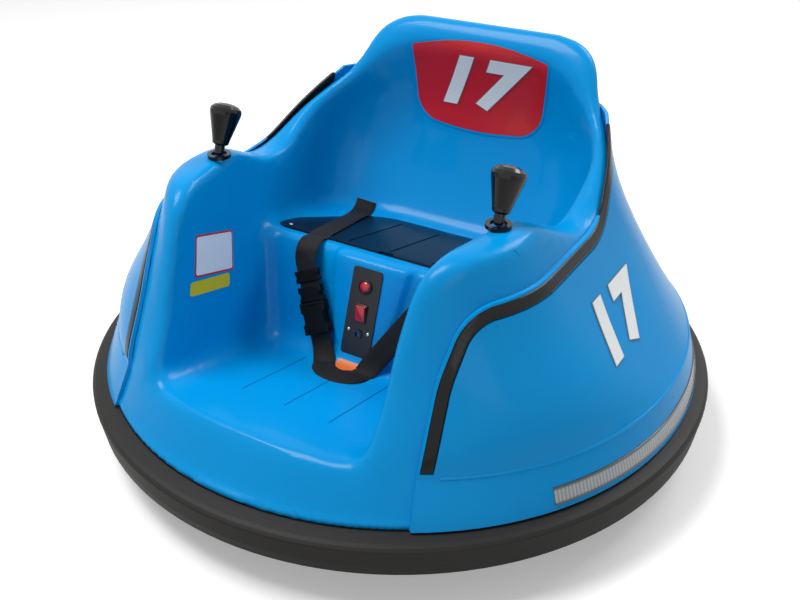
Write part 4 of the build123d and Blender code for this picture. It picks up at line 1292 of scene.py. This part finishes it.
seat_up = seat_frame.col[2].to_3d()
TRAY_SCREWS, TRAY_RADIUS = 10, 318 * MM
under_tray = surface_tree(nodes["base_tray"])
tray_places = []
for k in range(TRAY_SCREWS):
    turn = math.tau * (k + 0.5) / TRAY_SCREWS
    start = Vector((TRAY_RADIUS * math.cos(turn), TRAY_RADIUS * math.sin(turn), 0.02))
    hit, normal, _, _ = under_tray.ray_cast(start, Vector((0, 0, 1)))
    if hit is not None and abs(normal.z) > 0.95:
        tray_places.append((hit, (0, 0, -1)))
panel_places = []
for x in (-12.8, 12.8):
    spot = riser_frame(x * MM, 130.8 * MM, PANEL_FACE).translation + riser_out * 0.1 * MM
    panel_places.append((spot, riser_out))
screws("panel_screws", panel_places, 2.3, 1.1, 0.8)
screws("cover_screws", [(seat_frame @ Vector((x * MM, -22 * MM, 0.5 * MM)), seat_up) for x in (-142, 142)],
       3.0, 1.2, 1.0)
screws("tray_screws", tray_places, 4.0, 1.6, 1.2)

# %% [markdown]
# ## Base lens
# The lens low on each side is clear plastic over a bright reflector. Upright flutes break
# the light, and a dark line runs round the frame. Both are drawn by the angle round the
# car and by the height, so they follow the curved band. The flutes are in the bump, and
# in the colour as lighter and darker stripes, painted glints of the reflector.

# %% Fluted lens finish
LENS_RADIUS, LENS_MIDDLE, LENS_HALF = 349 * MM, 95 * MM, 8 * MM
FLUTES = 520  # in a full turn round the car
tree = lens_plastic.node_tree
x, y, z = object_axes(tree)
angle = math_node(tree, "ARCTAN2", y, math_node(tree, "ABSOLUTE", x))
wave = math_node(tree, "SINE", math_node(tree, "MULTIPLY", angle, float(FLUTES)))
flute = math_node(tree, "MULTIPLY_ADD", wave, 0.5, 0.5)
off_middle = math_node(tree, "ABSOLUTE", math_node(tree, "SUBTRACT", z, LENS_MIDDLE))
inwards = math_node(tree, "SUBTRACT", 1.0, math_node(tree, "MULTIPLY", off_middle, 1 / LENS_HALF))
band = range_node(tree, inwards, True, from_min=0.1, from_max=0.45)
colour_in = tree.nodes["Principled BSDF"].inputs["Base Color"]
# Painted glints: the flutes paint lighter and darker stripes on the reflector's bright band.
reflector_and_glints = math_node(tree, "MULTIPLY", band, math_node(tree, "MULTIPLY_ADD", flute, 0.45, 0.55))
tree.links.new(mix_node(tree, reflector_and_glints, linear(70, 78, 84), colour_in.links[0].from_socket), colour_in)
bump_node(tree, math_node(tree, "MULTIPLY", flute, band), 0.5, 0.6 * MM)
print("flutes in the lens every", round(math.tau / FLUTES * LENS_RADIUS / MM, 1), "mm")

# %% [markdown]
# ## Studio
# The car stands on a white floor under three large soft lamps. The floor glows a little for
# the camera alone, so that it stays white in the distance.

# %% Floor
FLOOR_HALF, FLOOR_GLOW = 6.0, 0.3
floor_mesh = bpy.data.meshes.new("studio_floor")
floor_mesh.from_pydata([(-FLOOR_HALF, -FLOOR_HALF, 0), (FLOOR_HALF, -FLOOR_HALF, 0),
                        (FLOOR_HALF, FLOOR_HALF, 0), (-FLOOR_HALF, FLOOR_HALF, 0)], [], [(0, 1, 2, 3)])
floor = placed("studio_floor", floor_mesh)
floor_white = finish_of("floor_white", [0.86, 0.86, 0.86, 1.0], 0.6, shine=0.1)
tree = floor_white.node_tree
shader = tree.nodes["Principled BSDF"]
shader.inputs["Emission Color"].default_value = (1, 1, 1, 1)
rays = tree.nodes.new("ShaderNodeLightPath")
tree.links.new(math_node(tree, "MULTIPLY", rays.outputs["Is Camera Ray"], FLOOR_GLOW),
               shader.inputs["Emission Strength"])
floor_mesh.materials.append(floor_white)
print("floor is", 2 * FLOOR_HALF, "m wide")

# %% [markdown]
# The key lamp hangs in front and to the right of the rider, the fill lamp is a faint one at
# the left, and the rim lamp lights the car from behind. The world is white for the camera,
# for glossy rays and for transmission, and a plain grey for the light that falls on the car.

# %% Lamps and world
LAMP_AIM = Vector((0, 0, 0.15))
# name, place, width and height in metres, watts
LAMPS = (("key_lamp", (-0.9, -0.6, 2.7), (1.2, 1.2), 62), ("fill_lamp", (2.2, -1.6, 1.4), (1.2, 1.2), 5),
         ("rim_lamp", (0.9, 2.0, 2.2), (1.6, 0.9), 34))
for name, place, size, power in LAMPS:
    lamp = bpy.data.lights.new(name, "AREA")
    lamp.shape = "RECTANGLE"
    lamp.size, lamp.size_y = size
    lamp.energy = power
    holder = placed(name, lamp)
    holder.location = place
    holder.rotation_mode = "QUATERNION"
    holder.rotation_quaternion = (LAMP_AIM - Vector(place)).to_track_quat("-Z", "Y")

WORLD_LIGHT = 0.29
world = bpy.data.worlds.new("studio_world")
bpy.context.scene.world = world
world.use_nodes = True
tree = world.node_tree
background = tree.nodes["Background"]
rays = tree.nodes.new("ShaderNodeLightPath").outputs
seen = math_node(tree, "MAXIMUM", rays["Is Camera Ray"], rays["Is Transmission Ray"])
seen = math_node(tree, "MAXIMUM", seen, rays["Is Glossy Ray"])
tree.links.new(range_node(tree, seen, to_min=WORLD_LIGHT, to_max=1.0), background.inputs["Strength"])
background.inputs["Color"].default_value = (1, 1, 1, 1)
print("lamps:", len(LAMPS))
